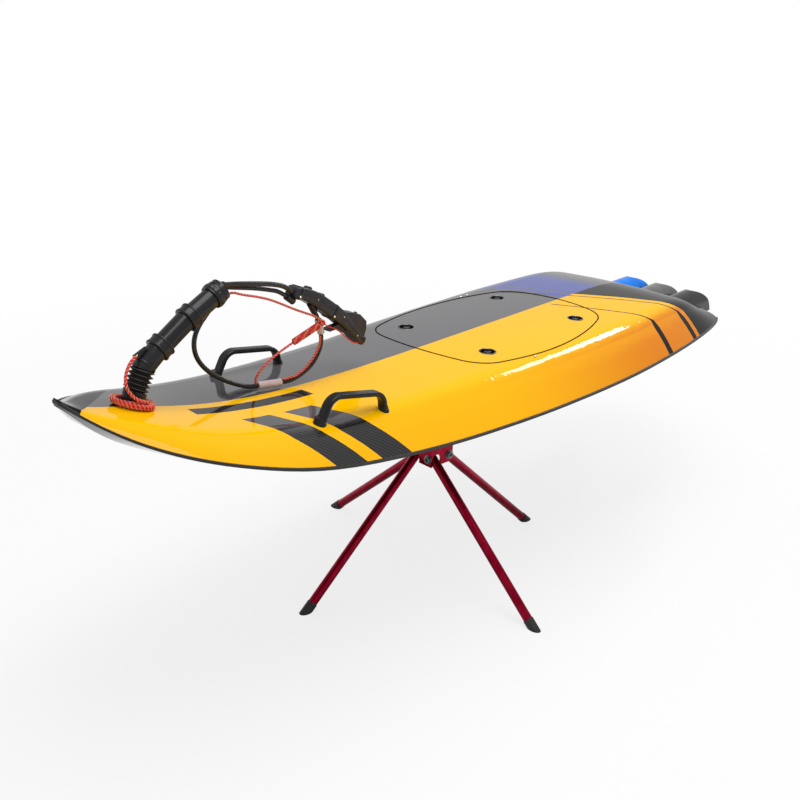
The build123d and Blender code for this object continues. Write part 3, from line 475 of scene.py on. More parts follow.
# Where the deck's colours meet, in metres on its plan
WEAVE = 0.0024
BAND_INNER_Y = 0.089
BAND_SLANT = 0.48
BAND_ENDS = [(0.693, 0.755), (0.595, 0.661)]
PANEL_Y = (0.0215, 0.050)
PANEL_X = (0.512, 0.766)
PANEL_SLANT = 0.10
TIP_X = 0.938
SHOULDER_Y = 0.222
SHOULDER_BEND = -1.15
TAIL_SLANT = 0.72
TAIL_X = -0.450
STRIPES = [(0.575, -0.3230), (0.700, -0.4270)]
STRIPE_START_X = -0.33
STRIPE_HALF = 0.0030
STRIPE_WIDER = 0.0075
STRIPE_WIDENS = (0.205, 0.245)
FIELD_CENTRE = (-0.135, -0.020)
FIELD_RADIUS = 0.262
FIELD_START_X = -0.305
FIELD_FADE = (-0.60, -0.53)
# Where the painted reflection on the carbon fades out toward the nose
NOSE_REFLECTION_FADE = (0.50, 0.78)
STREAKS = [(0.110, -0.369, 0.003), (0.356, -0.451, 0.004)]

# How the deck's colours turn with the surface's slope and toward the tail: painted reflection on carbon that
# faces up, painted shade on yellow that falls away
REFLECTION_FACING_UP = (0.90, 0.985)
SHADED_SIDE_FACING = (-0.985, -0.84)
NOSE_REFLECTION_FADE_SHARE = 0.85
REAR_SHADE_DEEPENS = (-0.25, 0.40)
REAR_SHADE_SHARE = 0.75
DARK_END_SHARE = 0.80

# Twill: its repeat, how a thread falls off, its shade where it dips under, its share on the flat
TWILL_REPEAT = 4.0
TWILL_OVER = 1.5
THREAD_FALL = 1.7
UNDER_SHARE = 0.30
FLAT_THREAD_SHARE = 0.25

# Gloss of the paint and the slight unevenness of the mouldings
LACQUER = {"yellow": 0.10, "carbon": 0.15, "dark end": 0.45}
SHINE = {"yellow": 0.10, "carbon": 0.08, "dark end": 0.20}
HULL_LACQUER = 0.8
LACQUER_ROUGHNESS = 0.03
UNEVEN_SCALE = 7.0
UNEVEN_HEIGHT = 0.0010
UNEVEN_STRENGTH = 0.30
GLOSS_SCALE = 60.0
GLOSS_RANGE = 0.03
GLOSS_ROUGHNESS = 0.05

# Long scuffs of the hull's underside
SCUFF_STRETCH = (3.0, 90.0, 90.0)
SCUFF_SCALE = 4.0
SCUFF_RANGE = (0.60, 0.80)
SCUFF_COLOUR_SHARE = 0.35
SCUFF_ROUGHER = 0.12
HULL_ROUGHNESS = 0.07

# Clouds and grain of plain surfaces
CLOUD_DETAIL = 4.0
CLOUD_RANGE = (0.35, 0.75)
CLOUD_GAIN = 1.35
CLOUD_LIFT = 0.004
GRAIN_DETAIL = 3.0
GRAIN_HEIGHT = 0.0002

# Woven skin of the cords
FLECK_SCALE = 420.0
FLECK_EDGE = 0.06
FIBRE_SCALE = 1500.0
FIBRE_RANGE = (0.30, 0.70)
FIBRE_SHADE = (0.55, 0.55, 0.55, 1)
WEAVE_SCALE = 1800.0
WEAVE_HEIGHT = 0.0004
WEAVE_STRENGTH = 0.5
CORD_ROUGHNESS = 0.72
CORD_SHINE = 0.3


def carbon(n, x, y, top):
    """Twill cloth under clear lacquer: its colour, painted grey as a painted reflection where the surface
    faces up, darker where it falls away.
    """
    u = n.math("DIVIDE", x, WEAVE)
    v = n.math("DIVIDE", y, WEAVE)
    step = n.math("FLOORED_MODULO", n.plus(n.math("FLOOR", u), n.math("FLOOR", v)), TWILL_REPEAT)
    over = n.before(step, TWILL_OVER)
    across_thread = n.math("ABSOLUTE", n.minus(n.math("FRACT", u), 0.5))
    along_thread = n.math("ABSOLUTE", n.minus(n.math("FRACT", v), 0.5))
    fall = n.times(n.choose(over, across_thread, along_thread), THREAD_FALL)
    thread = n.times(n.without(fall), n.choose(over, UNDER_SHARE, 1.0))
    side = n.mix(thread, CARBON_SIDE, CARBON_THREAD)
    flat = n.mix(n.times(thread, FLAT_THREAD_SHARE), CARBON_PAINTED_REFLECTION, CARBON_THREAD)
    return n.mix(top, side, flat)


def deck_paint():
    """Yellow port half, carbon starboard half, with bands, stripes and the tail's colours; painted shade on
    the yellow side, painted reflection on the carbon that faces up.
    """
    material = bpy.data.materials.new("deck_paint")
    n = Nodes(material)
    vector, x, y = n.position()
    port = n.past(y)
    starboard = n.without(port)
    up = n.facing_up()
    # Painted reflection: the carbon's share of grey where it faces up, fading to black toward the nose
    reflection_fade = n.times(n.ramp(x, *NOSE_REFLECTION_FADE), NOSE_REFLECTION_FADE_SHARE)
    top = n.times(n.ramp(up, *REFLECTION_FACING_UP), n.without(reflection_fade))

    # Painted shade: yellow turns deeper orange on the side that falls away, most of all toward the tail
    toward_tail = n.ramp(n.times(x, -1.0), *REAR_SHADE_DEEPENS)
    rearward = n.plus(n.times(toward_tail, REAR_SHADE_SHARE), 1.0 - REAR_SHADE_SHARE)
    painted_shade = n.times(n.ramp(n.times(up, -1.0), *SHADED_SIDE_FACING), rearward)
    yellow = n.mix(painted_shade, YELLOW, YELLOW_PAINTED_SHADE)
    cloth = carbon(n, x, y, top)

    # Bands, tip, tail and stripes, where no yellow lies on the cloth
    outer = n.past(y, BAND_INNER_Y)
    band_place = n.slanted(x, y, BAND_SLANT)
    bands = [n.both(outer, n.between(band_place, low, high)) for low, high in BAND_ENDS]
    tip = n.past(n.slanted(x, y, -1.0), TIP_X)
    bend = n.times(n.math("MAXIMUM", n.minus(y, SHOULDER_Y), 0.0), SHOULDER_BEND)
    bent_x = n.plus(x, bend)
    tail = n.before(n.slanted(bent_x, y, TAIL_SLANT), TAIL_X)
    wide = n.ramp(y, *STRIPE_WIDENS)
    half = n.plus(n.times(wide, STRIPE_WIDER), STRIPE_HALF)
    stripes = [n.near(n.slanted(bent_x, y, slant), place, half) for slant, place in STRIPES]
    stripe = n.both(n.either(*stripes), n.before(x, STRIPE_START_X))
    bare = n.either(*bands, tip, tail, stripe, starboard)

    # Plain dark panel beside the centre line
    panel_front = n.past(n.slanted(x, y, PANEL_SLANT), PANEL_X[0])
    panel_rear = n.before(n.slanted(x, y, -PANEL_SLANT), PANEL_X[1])
    panel = n.both(n.between(y, *PANEL_Y), panel_front, panel_rear)

    # Violet field behind the hatch, with two thin bare streaks
    ahead = n.math("POWER", n.minus(x, FIELD_CENTRE[0]), 2.0)
    aside = n.math("POWER", n.minus(y, FIELD_CENTRE[1]), 2.0)
    reach = n.math("SQRT", n.plus(ahead, aside))
    field = n.both(starboard, n.past(reach, FIELD_RADIUS), n.before(x, FIELD_START_X), n.ramp(x, *FIELD_FADE))
    for slant, place, width in STREAKS:
        field = n.both(field, n.without(n.near(n.slanted(x, y, slant), place, width)))

    # The tail, tip and stripes keep little of the painted reflection
    dark_end = n.either(n.both(tail, port), tip, stripe)
    cloth = n.mix(n.times(dark_end, DARK_END_SHARE), cloth, CARBON_SIDE)
    colour = n.mix(bare, yellow, cloth)
    colour = n.mix(n.both(panel, port), colour, PANEL)
    colour = n.mix(field, colour, VIOLET)

    # Yellow paint is a plain gloss, the carbon has a thicker clear lacquer
    lacquer = n.choose(bare, LACQUER["yellow"], n.choose(dark_end, LACQUER["dark end"], LACQUER["carbon"]))
    shine = n.choose(bare, SHINE["yellow"], n.choose(dark_end, SHINE["dark end"], SHINE["carbon"]))
    uneven = n.bump(n.noise(vector, UNEVEN_SCALE), UNEVEN_HEIGHT, UNEVEN_STRENGTH)
    roughness = n.plus(n.times(n.noise(vector, GLOSS_SCALE), GLOSS_RANGE), GLOSS_ROUGHNESS)
    n.surface(colour, roughness, uneven, Specular_IOR_Level=shine, Coat_Weight=lacquer,
              Coat_Roughness=LACQUER_ROUGHNESS)
    return material


def hull_carbon():
    """Lower moulding: dark twill under gloss lacquer, with faint long scuffs."""
    material = bpy.data.materials.new("hull_carbon")
    n = Nodes(material)
    vector, x, y = n.position()
    cloth = carbon(n, x, y, 0.0)
    scuffs = n.ramp(n.noise(n.stretched(vector, SCUFF_STRETCH), SCUFF_SCALE, CLOUD_DETAIL), *SCUFF_RANGE)
    colour = n.mix(n.times(scuffs, SCUFF_COLOUR_SHARE), cloth, CARBON_THREAD)
    roughness = n.plus(n.times(scuffs, SCUFF_ROUGHER), HULL_ROUGHNESS)
    uneven = n.bump(n.noise(vector, UNEVEN_SCALE), UNEVEN_HEIGHT, UNEVEN_STRENGTH)
    n.surface(colour, roughness, uneven, Coat_Weight=HULL_LACQUER, Coat_Roughness=LACQUER_ROUGHNESS)
    return material


def plain(name, colour, roughness, metallic=0.0, grain=0.0, grain_scale=900.0, wear=0.06, wear_scale=45.0,
          stretch=None, **constants):
    """Moulded or machined surface: slight clouds of colour and gloss, and a fine grain."""
    material = bpy.data.materials.new(name)
    n = Nodes(material)
    vector = n.position()[0]
    if stretch:
        vector = n.stretched(vector, stretch)
    cloud = n.noise(vector, wear_scale, CLOUD_DETAIL)
    paler = tuple(min(1.0, c * CLOUD_GAIN + CLOUD_LIFT) for c in colour[:3]) + (1,)
    tint = n.mix(n.ramp(cloud, *CLOUD_RANGE), colour, paler)
    rough = n.plus(n.times(cloud, wear), roughness - wear / 2)
    normal = n.bump(n.noise(vector, grain_scale, GRAIN_DETAIL), GRAIN_HEIGHT, grain) if grain else None
    n.surface(tint, rough, normal, Metallic=metallic, **constants)
    return material


def cord_skin(name, colour, fleck, share):
    """Woven cord: fibres across its run and flecks of a second yarn."""
    material = bpy.data.materials.new(name)
    n = Nodes(material)
    vector = n.position()[0]
    flecks = n.ramp(n.noise(vector, FLECK_SCALE, 1.0), 1.0 - share, 1.0 + FLECK_EDGE - share)
    tint = n.mix(flecks, colour, fleck)
    shade = n.mix(n.ramp(n.noise(vector, FIBRE_SCALE), *FIBRE_RANGE), FIBRE_SHADE, WHITE)
    dyed = n.mix(1.0, tint, shade, "MULTIPLY")
    woven = n.bump(n.noise(vector, WEAVE_SCALE), WEAVE_HEIGHT, WEAVE_STRENGTH)
    n.surface(dyed, CORD_ROUGHNESS, woven, Specular_IOR_Level=CORD_SHINE)
    return material


deck_look = deck_paint()
hull_look = hull_carbon()

# Blacks of trim, stem, cables and grip
trim = plain("black_trim", BLACK, 0.26, grain=0.25, wear=0.08, Specular_IOR_Level=0.3)
stem_plastic = plain("stem_plastic", STEM_BLACK, 0.22, grain=0.03, wear=0.04, wear_scale=20.0,
                     Specular_IOR_Level=0.4)
rubber = plain("black_rubber", RUBBER, 0.50, grain=0.4, wear=0.10)
cable_skin = plain("cable_skin", CABLE_BLACK, 0.26, grain=0.10, wear=0.08)
shell_top = plain("grip_shell", SHELL_BLACK, 0.30, grain=0.25, grain_scale=1400.0, wear=0.06,
                  Specular_IOR_Level=0.3)
seam_black = plain("seam_black", SEAM_BLACK, 0.60, wear=0.05, Specular_IOR_Level=0.1)

# Metals
anodised = plain("red_anodised", RED_ANODISED, 0.22, metallic=1.0, grain=0.06, grain_scale=400.0, wear=0.12,
                 wear_scale=3.0, stretch=(22.0, 22.0, 1.5))
steel = plain("zinc_steel", STEEL, 0.25, metallic=1.0, grain=0.10, wear=0.12)
bright = plain("bright_steel", BRIGHT, 0.18, metallic=1.0, grain=0.05, wear=0.08)
dark_steel = plain("dark_steel", DARK_STEEL, 0.30, metallic=1.0, grain=0.10, wear=0.10)
cast = plain("machined_aluminium", ALUMINIUM, 0.32, metallic=1.0, grain=0.25, wear=0.14)
engine_cast = plain("engine_casting", ENGINE, 0.52, metallic=0.7, grain=0.8, grain_scale=600.0, wear=0.16)

# Tank, cowls, sleeves and buttons
tank_plastic = plain("tank_plastic", TANK, 0.45, grain=0.3, wear=0.10)
cowl_blue = plain("blue_gloss", COWL_BLUE, 0.10, wear=0.04, Specular_IOR_Level=0.15, Coat_Weight=0.15,
                  Coat_Roughness=0.03)
cowl_grey = plain("grey_gloss", COWL_GREY, 0.14, wear=0.05, Specular_IOR_Level=0.3, Coat_Weight=0.6,
                  Coat_Roughness=0.04)
cowl_black = plain("black_gloss", COWL_BLACK, 0.10, wear=0.05, Specular_IOR_Level=0.2, Coat_Weight=0.3,
                   Coat_Roughness=0.03)
sleeve_look = plain("clear_sleeve", SLEEVE, 0.14, wear=0.06, Transmission_Weight=0.35, IOR=1.45)
white_mark = plain("white_button", BUTTON_WHITE, 0.35, wear=0.08)

# Woven cords, with the share of their second yarn
pull_red = cord_skin("pull_cord", PULL_RED, PULL_ORANGE, 0.30)
rope_red = cord_skin("red_cord", ROPE_RED, ROPE_YELLOW, 0.32)
rope_yellow = cord_skin("yellow_yarn", ROPE_YELLOW, ROPE_PINK, 0.40)
rope_pink = cord_skin("pink_yarn", ROPE_PINK, ROPE_YELLOW, 0.40)

NODE_MATERIALS = {
    deck_look: ["deck", "hatch_lid"],
    hull_look: ["hull_bottom", "intake_duct", "pump_tunnel"],
    cowl_black: ["tail_cowl_port"],
    cowl_grey: ["tail_cowl_centre"],
    cowl_blue: ["tail_cowl_starboard"],
    trim: ["grab_handle_port", "grab_handle_starboard", "stem_foot", "hatch_latches", "stem_eyelet"],
    rubber: ["rail_edge", "hatch_seal", "stand_feet", "stand_pads"],
    stem_plastic: ["stem_tube", "stem_collars", "stem_cap"],
    shell_top: ["grip_body", "grip_pod", "grip_trigger"],
    cast: ["intake_grille", "grille_bars", "pump_housing", "stator", "jet_nozzle"],
    steel: ["impeller"],
    dark_steel: ["hub_bolts"],
    engine_cast: ["engine_block"],
    tank_plastic: ["fuel_tank"],
    anodised: ["stand_hub", "stand_leg_1", "stand_leg_2", "stand_leg_3", "stand_leg_4"],
    sleeve_look: ["loop_sleeves"],
}
for look, names in NODE_MATERIALS.items():
    for name in names:
        nodes[name].data.materials.clear()
        nodes[name].data.materials.append(look)


# Making small pieces
def new_object(name, data):
    piece = bpy.data.objects.new(name, data)
    bpy.context.collection.objects.link(piece)
    return piece


def place_mesh(name, points, faces, looks, body=None, face_looks=None):
    mesh = bpy.data.meshes.new(name)
    mesh.from_pydata([tuple(p) for p in points], [], faces)
    for look in looks:
        mesh.materials.append(look)
    for index, face in enumerate(mesh.polygons):
        face.use_smooth = True
        if face_looks:
            face.material_index = face_looks[index]
    mesh.update()
    piece = new_object(name, mesh)
    if body:
        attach(piece, body)
    return piece


def across(direction):
    """Two unit vectors square to a direction and to each other."""
    direction = Vector(direction).normalized()
    helper = PORT if abs(direction.y) < 0.9 else Vector((1, 0, 0))
    first = direction.cross(helper).normalized()
    return first, direction.cross(first).normalized()


def around(first, second, angle):
    """Unit vector at an angle between two vectors that are square to each other."""
    return first * math.cos(angle) + second * math.sin(angle)


def carried(path):
    """Each point of a path with its run and two vectors across it that don't twist."""
    first = across(path[1] - path[0])[0]
    for i, point in enumerate(path):
        before = path[max(i - 1, 0)]
        after = path[min(i + 1, len(path) - 1)]
        run = (after - before).normalized()
        first = (first - run * first.dot(run)).normalized()
        yield point, first, run.cross(first)


class Pile:
    """Points and faces of several small forms that become one piece."""

    def __init__(self):
        self.points = []
        self.faces = []
        self.looks = []

    def grid(self, rows, look=0, ends=False):
        """Skin over rows of points, each row a ring."""
        start = len(self.points)
        width = len(rows[0])
        for row in rows:
            self.points += [Vector(p) for p in row]
        for i in range(len(rows) - 1):
            for j in range(width):
                k = (j + 1) % width
                low = start + i * width
                self.faces.append((low + j, low + k, low + width + k, low + width + j))
                self.looks.append(look)
        if ends:
            self.faces.append(tuple(start + j for j in reversed(range(width))))
            self.faces.append(tuple(start + (len(rows) - 1) * width + j for j in range(width)))
            self.looks += [look, look]

    def lathe(self, base, axis, profile, sides, look=0, ends=True, wave=None):
        """Round form about an axis from a profile of (radius, distance) pairs."""
        axis = Vector(axis).normalized()
        first, second = across(axis)
        angles = [TURN * j / sides for j in range(sides)]
        rows = []
        for radius, rise in profile:
            reaches = [radius * (wave(angle) if wave else 1.0) for angle in angles]
            rows.append([Vector(base) + axis * rise + around(first, second, angle) * reach
                         for angle, reach in zip(angles, reaches)])
        self.grid(rows, look, ends)

    def tube(self, points, radius, sides, look=0):
        """Round bar along a line of points, with a frame that doesn't twist."""
        rows = []
        for point, first, second in carried([Vector(p) for p in points]):
            rows.append([point + around(first, second, TURN * j / sides) * radius for j in range(sides)])
        self.grid(rows, look, True)

    def piece(self, name, looks, body=None):
        return place_mesh(name, self.points, self.faces, looks, body, self.looks)


def helix(path, radius, pitch, phase):
    """Points of a strand that turns round a path."""
    points = []
    gone = 0.0
    last = path[0]
    for point, first, second in carried(path):
        gone += (point - last).length
        last = point
        points.append(point + around(first, second, TURN * gone / pitch + phase) * radius)
    return points


def length_of(points):
    return sum((b - a).length for a, b in zip(points, points[1:]))


def spaced(path, step):
    """A path's points, set evenly at about that step."""
    total = length_of(path)
    count = max(2, round(total / step))
    result = [path[0]]
    target = total / count
    gone = 0.0
    for a, b in zip(path, path[1:]):
        run = (b - a).length
        while gone + run >= target * len(result) and len(result) < count:
            result.append(a.lerp(b, (target * len(result) - gone) / run))
        gone += run
    result.append(path[-1])
    return result


# Cords
def spline(name, points, diameter):
    """NURBS curve whose control points are the route's points, in metres; without a diameter, a bare line."""
    curve = bpy.data.curves.new(name, "CURVE")
    curve.dimensions = "3D"
    line = curve.splines.new("NURBS")
    line.points.add(len(points) - 1)
    for control, point in zip(line.points, points):
        control.co = (*point, 1)
    line.order_u = 3
    line.use_endpoint_u = True
    line.resolution_u = 10
    curve.resolution_u = 10
    if diameter:
        curve.bevel_depth = diameter / 2
        curve.bevel_resolution = 4
        curve.use_fill_caps = True
    return new_object(name, curve)


def line_points(name, points):
    """Points along the curve itself, read from a copy of it without thickness."""
    thin = spline(name + "_line", points, 0.0)
    mesh = bpy.data.meshes.new_from_object(thin)
    path = [v.co.copy() for v in mesh.vertices]
    bpy.data.meshes.remove(mesh)
    bpy.data.objects.remove(thin)
    return path


def route(points):
    return [STEM_FOOT + Vector(p) * MM for p in points]


def yarns(pile, path, diameter, looks):
    """Yarns of other colours laid round a cord, a little proud of its skin."""
    even = spaced(path, YARN_PITCH / YARN_POINTS)
    radius = diameter / 2 - YARN_THICKNESS * YARN_SUNK_SHARE
    for index, look in enumerate(looks):
        strand = helix(even, radius, YARN_PITCH, TURN * index / len(looks))
        pile.tube(strand, YARN_THICKNESS, YARN_SIDES, look)


def add_cord(name, points, diameter, look, replaced, body="stem", pieces=(),
             yarn=False):
    """One cord: a round curve along its route, in place of the parts it replaces; ropes may have yarns laid
    round them.
    """
    path = line_points(name, points)
    piece = spline(name, points, diameter)
    piece.data.materials.append(look)
    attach(piece, body)
    if replaced:
        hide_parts(*replaced)
    pieces = list(pieces)
    if yarn:
        pile = Pile()
        yarns(pile, path, diameter, (0, 1))
        pieces.append(pile.piece(name + "_yarns", [rope_yellow, rope_pink], body))


def on_stem(shares):
    ahead, above = shares
    return STEM_FOOT + Vector((ahead, 0, above)) * STEM_SIZE


neck_top, bellows_top, bend_1, bend_2, stem_end = (on_stem(shares) for shares in STEM_SHARES.values())
stem_out = (stem_end - bend_2).normalized()
stem_normal = Vector((stem_out.z, 0, -stem_out.x))
grip_start = stem_end - Vector((GRIP_AHEAD, 0, GRIP_DROP))
grip_run = Vector((-math.cos(GRIP_SLOPE), 0, -math.sin(GRIP_SLOPE)))
grip_up = Vector((grip_run.z, 0, -grip_run.x))


def on_grip(u, v, y=0.0):
    """Point at shares u along and v above the grip's chord."""
    return grip_start + grip_run * (u * GRIP_LENGTH) + grip_up * (v * GRIP_LENGTH) + PORT * y


def cap_exit(name):
    """Where a cable leaves the end of the stem's cap."""
    rise, aside = CABLE_SHARES[name]
    offset = stem_normal * (rise * CAP_RADIUS) + PORT * (aside * CAP_RADIUS)
    return stem_end + offset + stem_out * CAP_GLAND_LENGTH


control_rise, control_aside = CABLE_SHARES["grip"]
control_end = on_grip(GRIP_TOP_SHARES[0][0], control_rise, control_aside * GRIP_WIDTH)
control_route = [cap_exit("control"), *route(CONTROL_POINTS),
                 control_end - grip_run * (CONTROL_DIAMETER * CABLE_RUN), control_end]
throttle_end = on_grip(*GRIP_GLAND_SHARE)
throttle_route = [cap_exit("throttle"), *route(THROTTLE_POINTS),
                  throttle_end - grip_run * (THROTTLE_DIAMETER * CABLE_RUN), throttle_end]


def knot_rope(pile, line, phase):
    """Rope along a line, with one yarn laid round it."""
    radius = LEASH_DIAMETER / 2
    pile.tube(line, radius, KNOT_ROPE_SIDES, 0)
    strand = helix(spaced(line, KNOT_YARN_STEP), radius * KNOT_YARN_SHARE, KNOT_YARN_PITCH, phase)
    pile.tube(strand, KNOT_YARN_THICKNESS, YARN_SIDES, 1)


def knot():
    """The leash's wound knot and the small ball knot beside it."""
    pile = Pile()
    start, end = route(KNOT_ENDS)
    length = (end - start).length
    rope_radius = LEASH_DIAMETER / 2
    core = spaced([start, end], length / (KNOT_TURNS * KNOT_POINTS))
    knot_rope(pile, helix(core, KNOT_RADIUS - rope_radius, length / KNOT_TURNS, 0.0), 0.0)
    pile.tube([start, end], KNOT_RADIUS - LEASH_DIAMETER + KNOT_CORE_PROUD, KNOT_CORE_SIDES, 0)
    before, tail = route(LEASH_FIRST)[-2:]
    centre = tail + (tail - before).normalized() * KNOT_RADIUS
    reach = KNOT_RADIUS - rope_radius - BALL_INSET
    for index, axis in enumerate(BALL_AXES):
        first, second = across(axis)
        angles = [TURN * k / BALL_POINTS for k in range(BALL_POINTS + 1)]
        knot_rope(pile, [centre + around(first, second, angle) * reach for angle in angles], index)
    piece = pile.piece("leash_knot_wound", [rope_red, rope_yellow], "stem")
    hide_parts("leash_knot")
    return piece


knot_piece = knot()
add_cord("control_cord", control_route, CONTROL_DIAMETER, cable_skin, ["control_cable"])
add_cord("throttle_cord", throttle_route, THROTTLE_DIAMETER, cable_skin, ["throttle_cable"])
add_cord("loop_cord", route(LOOP_FIRST + LOOP_MIDDLE + LOOP_LAST), LOOP_DIAMETER, cable_skin,
         ["loop_cable_1", "loop_cable_2", "loop_cable_3"], pieces=[nodes["loop_sleeves"]])
add_cord("leash_upper", route(LEASH_FIRST), LEASH_DIAMETER, rope_red, ["leash_1"],
         pieces=[knot_piece], yarn=True)
add_cord("leash_lower", route(LEASH_SECOND), LEASH_DIAMETER, rope_red, ["leash_2"], yarn=True)
add_cord("leash_loop", route(LEASH_THIRD), LEASH_DIAMETER, rope_red, ["leash_3"], yarn=True)
add_cord("pull_cord", route(PULL_POINTS), PULL_DIAMETER, pull_red, [])

# Rope wound round the stem's foot, and its free end up to the eyelet
foot_up = (neck_top - STEM_FOOT).normalized()
foot_ahead = PORT.cross(foot_up)


def foot_winding():
    """Turns that lie flat for most of each wrap and step to the next radius and height at its end."""
    points = []
    for index in range((len(WRAPS) - 1) * WRAP_POINTS + 1):
        place = index / WRAP_POINTS
        wrap = min(int(place), len(WRAPS) - 2)
        late = max(0.0, (place - wrap - WRAP_STEP_SHARE) / (1 - WRAP_STEP_SHARE))
        radius, rise = (now + (then - now) * late for now, then in zip(WRAPS[wrap], WRAPS[wrap + 1]))
        angle = TURN * (place + WRAP_START_SHARE)
        sway = 1.0 + WRAP_SWAY_SHARE * math.sin(WRAP_SWAYS * angle + wrap)
        out = around(foot_ahead, PORT, angle) * (radius * sway)
        points.append(STEM_FOOT + (out + foot_up * rise) * MM)
    return points


add_cord("foot_rope_winding", foot_winding(), FOOT_ROPE_DIAMETER, rope_red, ["foot_rope_coil"],
         body="board", yarn=True)


def foot_tail():
    """Free end of the foot rope, which bends between the board and the stem."""
    path = line_points("foot_rope_tail", route(FOOT_ROPE_POINTS))
    pile = Pile()
    pile.tube(path, FOOT_ROPE_DIAMETER / 2, 12, 0)
    yarns(pile, path, FOOT_ROPE_DIAMETER, (1, 2))
    piece = pile.piece("foot_rope_tail", [rope_red, rope_yellow, rope_pink])
    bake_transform(piece)
    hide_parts("foot_rope")


foot_tail()


# Fittings
def proud_of(radius, start, profile):
    """A lathe's profile from pairs that say how far proud of a radius and how far past a start."""
    return [(radius + proud, start + rise) for proud, rise in profile]


def corners(low, high, edge):
    """X and Y of a box's four corners, an edge's width inside it."""
    for x in (low.x + edge, high.x - edge):
        for y in (low.y + edge, high.y - edge):
            yield x, y


def screw(pile, at, axis, size, look):
    """Button-head screw with a socket, its size being radius and height of the head."""
    radius, height = size
    profile = [(radius * out, height * rise) for out, rise in HEAD_SHARES]
    pile.lathe(at, axis, profile, SCREW_SIDES, look)


def bellows():
    """Ribbed rubber boot round the stem's neck, in place of the part's bellows."""
    pile = Pile()
    axis = bellows_top - neck_top
    pitch = axis.length / BELLOWS_RIBS
    profile = [(BELLOWS_ROOT, -BELLOWS_SEAT)]
    for rib in range(BELLOWS_RIBS):
        profile += [(radius, (rib + share) * pitch) for share, radius in BELLOWS_RIB]
    profile.append((BELLOWS_ROOT, axis.length + BELLOWS_SEAT))
    pile.lathe(neck_top, axis, profile, BELLOWS_SIDES)
    piece = pile.piece("stem_boot", [rubber])
    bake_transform(piece)
    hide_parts("stem_bellows")


def stem_rings():
    """Rims, seams and ribs on the stem's collars and cap."""
    pile = Pile()
    for at, towards in ((bend_1, bend_2), (bend_2, stem_end)):
        for rise in (COLLAR_OFFSET, COLLAR_OFFSET + COLLAR_LENGTH - COLLAR_RIM_LENGTH):
            pile.lathe(at, towards - at, proud_of(COLLAR_RADIUS, rise, COLLAR_RIM), RIM_SIDES)
    cap_start = stem_end - stem_out * CAP_LENGTH
    step = CAP_LENGTH * CAP_STEP_SHARE

    def ribs(angle):
        return 1.0 + CAP_RIB_SHARE * max(0.0, math.cos(CAP_RIBS * angle)) ** 2

    band = [(COLLAR_RADIUS + proud * CAP_RIB_HEIGHT, step * share) for proud, share in CAP_RIB_SHARES]
    pile.lathe(cap_start, stem_out, band, CAP_RIBS * CAP_RIB_POINTS, wave=ribs)
    pile.lathe(cap_start, stem_out, proud_of(CAP_RADIUS, step, CAP_RIM), RIM_SIDES)
    out = (bend_1 - bellows_top).normalized()
    pile.lathe(bellows_top + out * TUBE_RIM_START, out, proud_of(TUBE_RADIUS, 0.0, TUBE_RIM), RIM_SIDES)
    pile.piece("stem_rims", [stem_plastic], "stem")


def grip_outline(shares, u):
    """Height share of one of the grip's outlines at a share u along it."""
    for (u_a, v_a), (u_b, v_b) in zip(shares, shares[1:]):
        if u <= u_b:
            return v_a + (v_b - v_a) * (u - u_a) / (u_b - u_a)
    return shares[-1][1]


def grip_ring(u, proud, shift):
    """Rounded rectangle round the grip at share u, proud of its skin."""
    low = grip_outline(GRIP_UNDER_SHARES, u) * GRIP_LENGTH - proud
    high = grip_outline(GRIP_TOP_SHARES, u) * GRIP_LENGTH + proud
    turn = GRIP_ROUND + proud
    side = GRIP_WIDTH / 2 + proud - turn
    middles = [(side, high - turn), (-side, high - turn), (-side, low + turn), (side, low + turn)]
    ring = []
    for quarter, (y, rise) in enumerate(middles):
        for k in range(CORNER_POINTS + 1):
            angle = TURN * (quarter + k / CORNER_POINTS) / 4
            corner = on_grip(u, 0.0, y + turn * math.cos(angle))
            ring.append(corner + grip_up * (rise + turn * math.sin(angle)) + grip_run * shift)
    return ring


def grip_fittings():
    """Clamp bands, seams and screws of the two-part grip shell, with the pod's buttons and the tail's pin."""
    pile = Pile()
    for u in BAND_SHARES:
        pile.grid([grip_ring(u, proud, shift) for proud, shift in BAND_PROFILE])
    first, last = SEAM_SHARES
    for side in (1, -1):
        seam = []
        for k in range(SEAM_POINTS + 1):
            u = first + (last - first) * k / SEAM_POINTS
            v = (SEAM_HEIGHT_SHARE * grip_outline(GRIP_TOP_SHARES, u)
                 + (1 - SEAM_HEIGHT_SHARE) * grip_outline(GRIP_UNDER_SHARES, u))
            seam.append(on_grip(u, v, side * GRIP_WIDTH / 2))
        pile.tube(seam, SEAM_LINE_RADIUS, YARN_SIDES)
        for u, v in SCREW_SHARES:
            screw(pile, on_grip(u, v, side * (GRIP_WIDTH / 2 - SCREW_INSET)), PORT * side, SHELL_SCREW, 1)
    for u in BAND_SHARES:
        lug = on_grip(u, grip_outline(GRIP_UNDER_SHARES, u) + LUG_SHARE, GRIP_WIDTH / 2)
        screw(pile, lug, PORT, LUG_SCREW, 1)
    for u, v in BUTTON_SHARES:
        pile.lathe(on_grip(u, v) + grip_up * BUTTON_RISE, grip_up, BUTTON_PROFILE, BUTTON_SIDES, 2)
    pile.lathe(on_grip(*TAIL_SHARE) - PORT * TAIL_HALF, PORT, TAIL_PROFILE, SCREW_SIDES)
    pile.piece("grip_fittings", [trim, steel, white_mark], "stem")


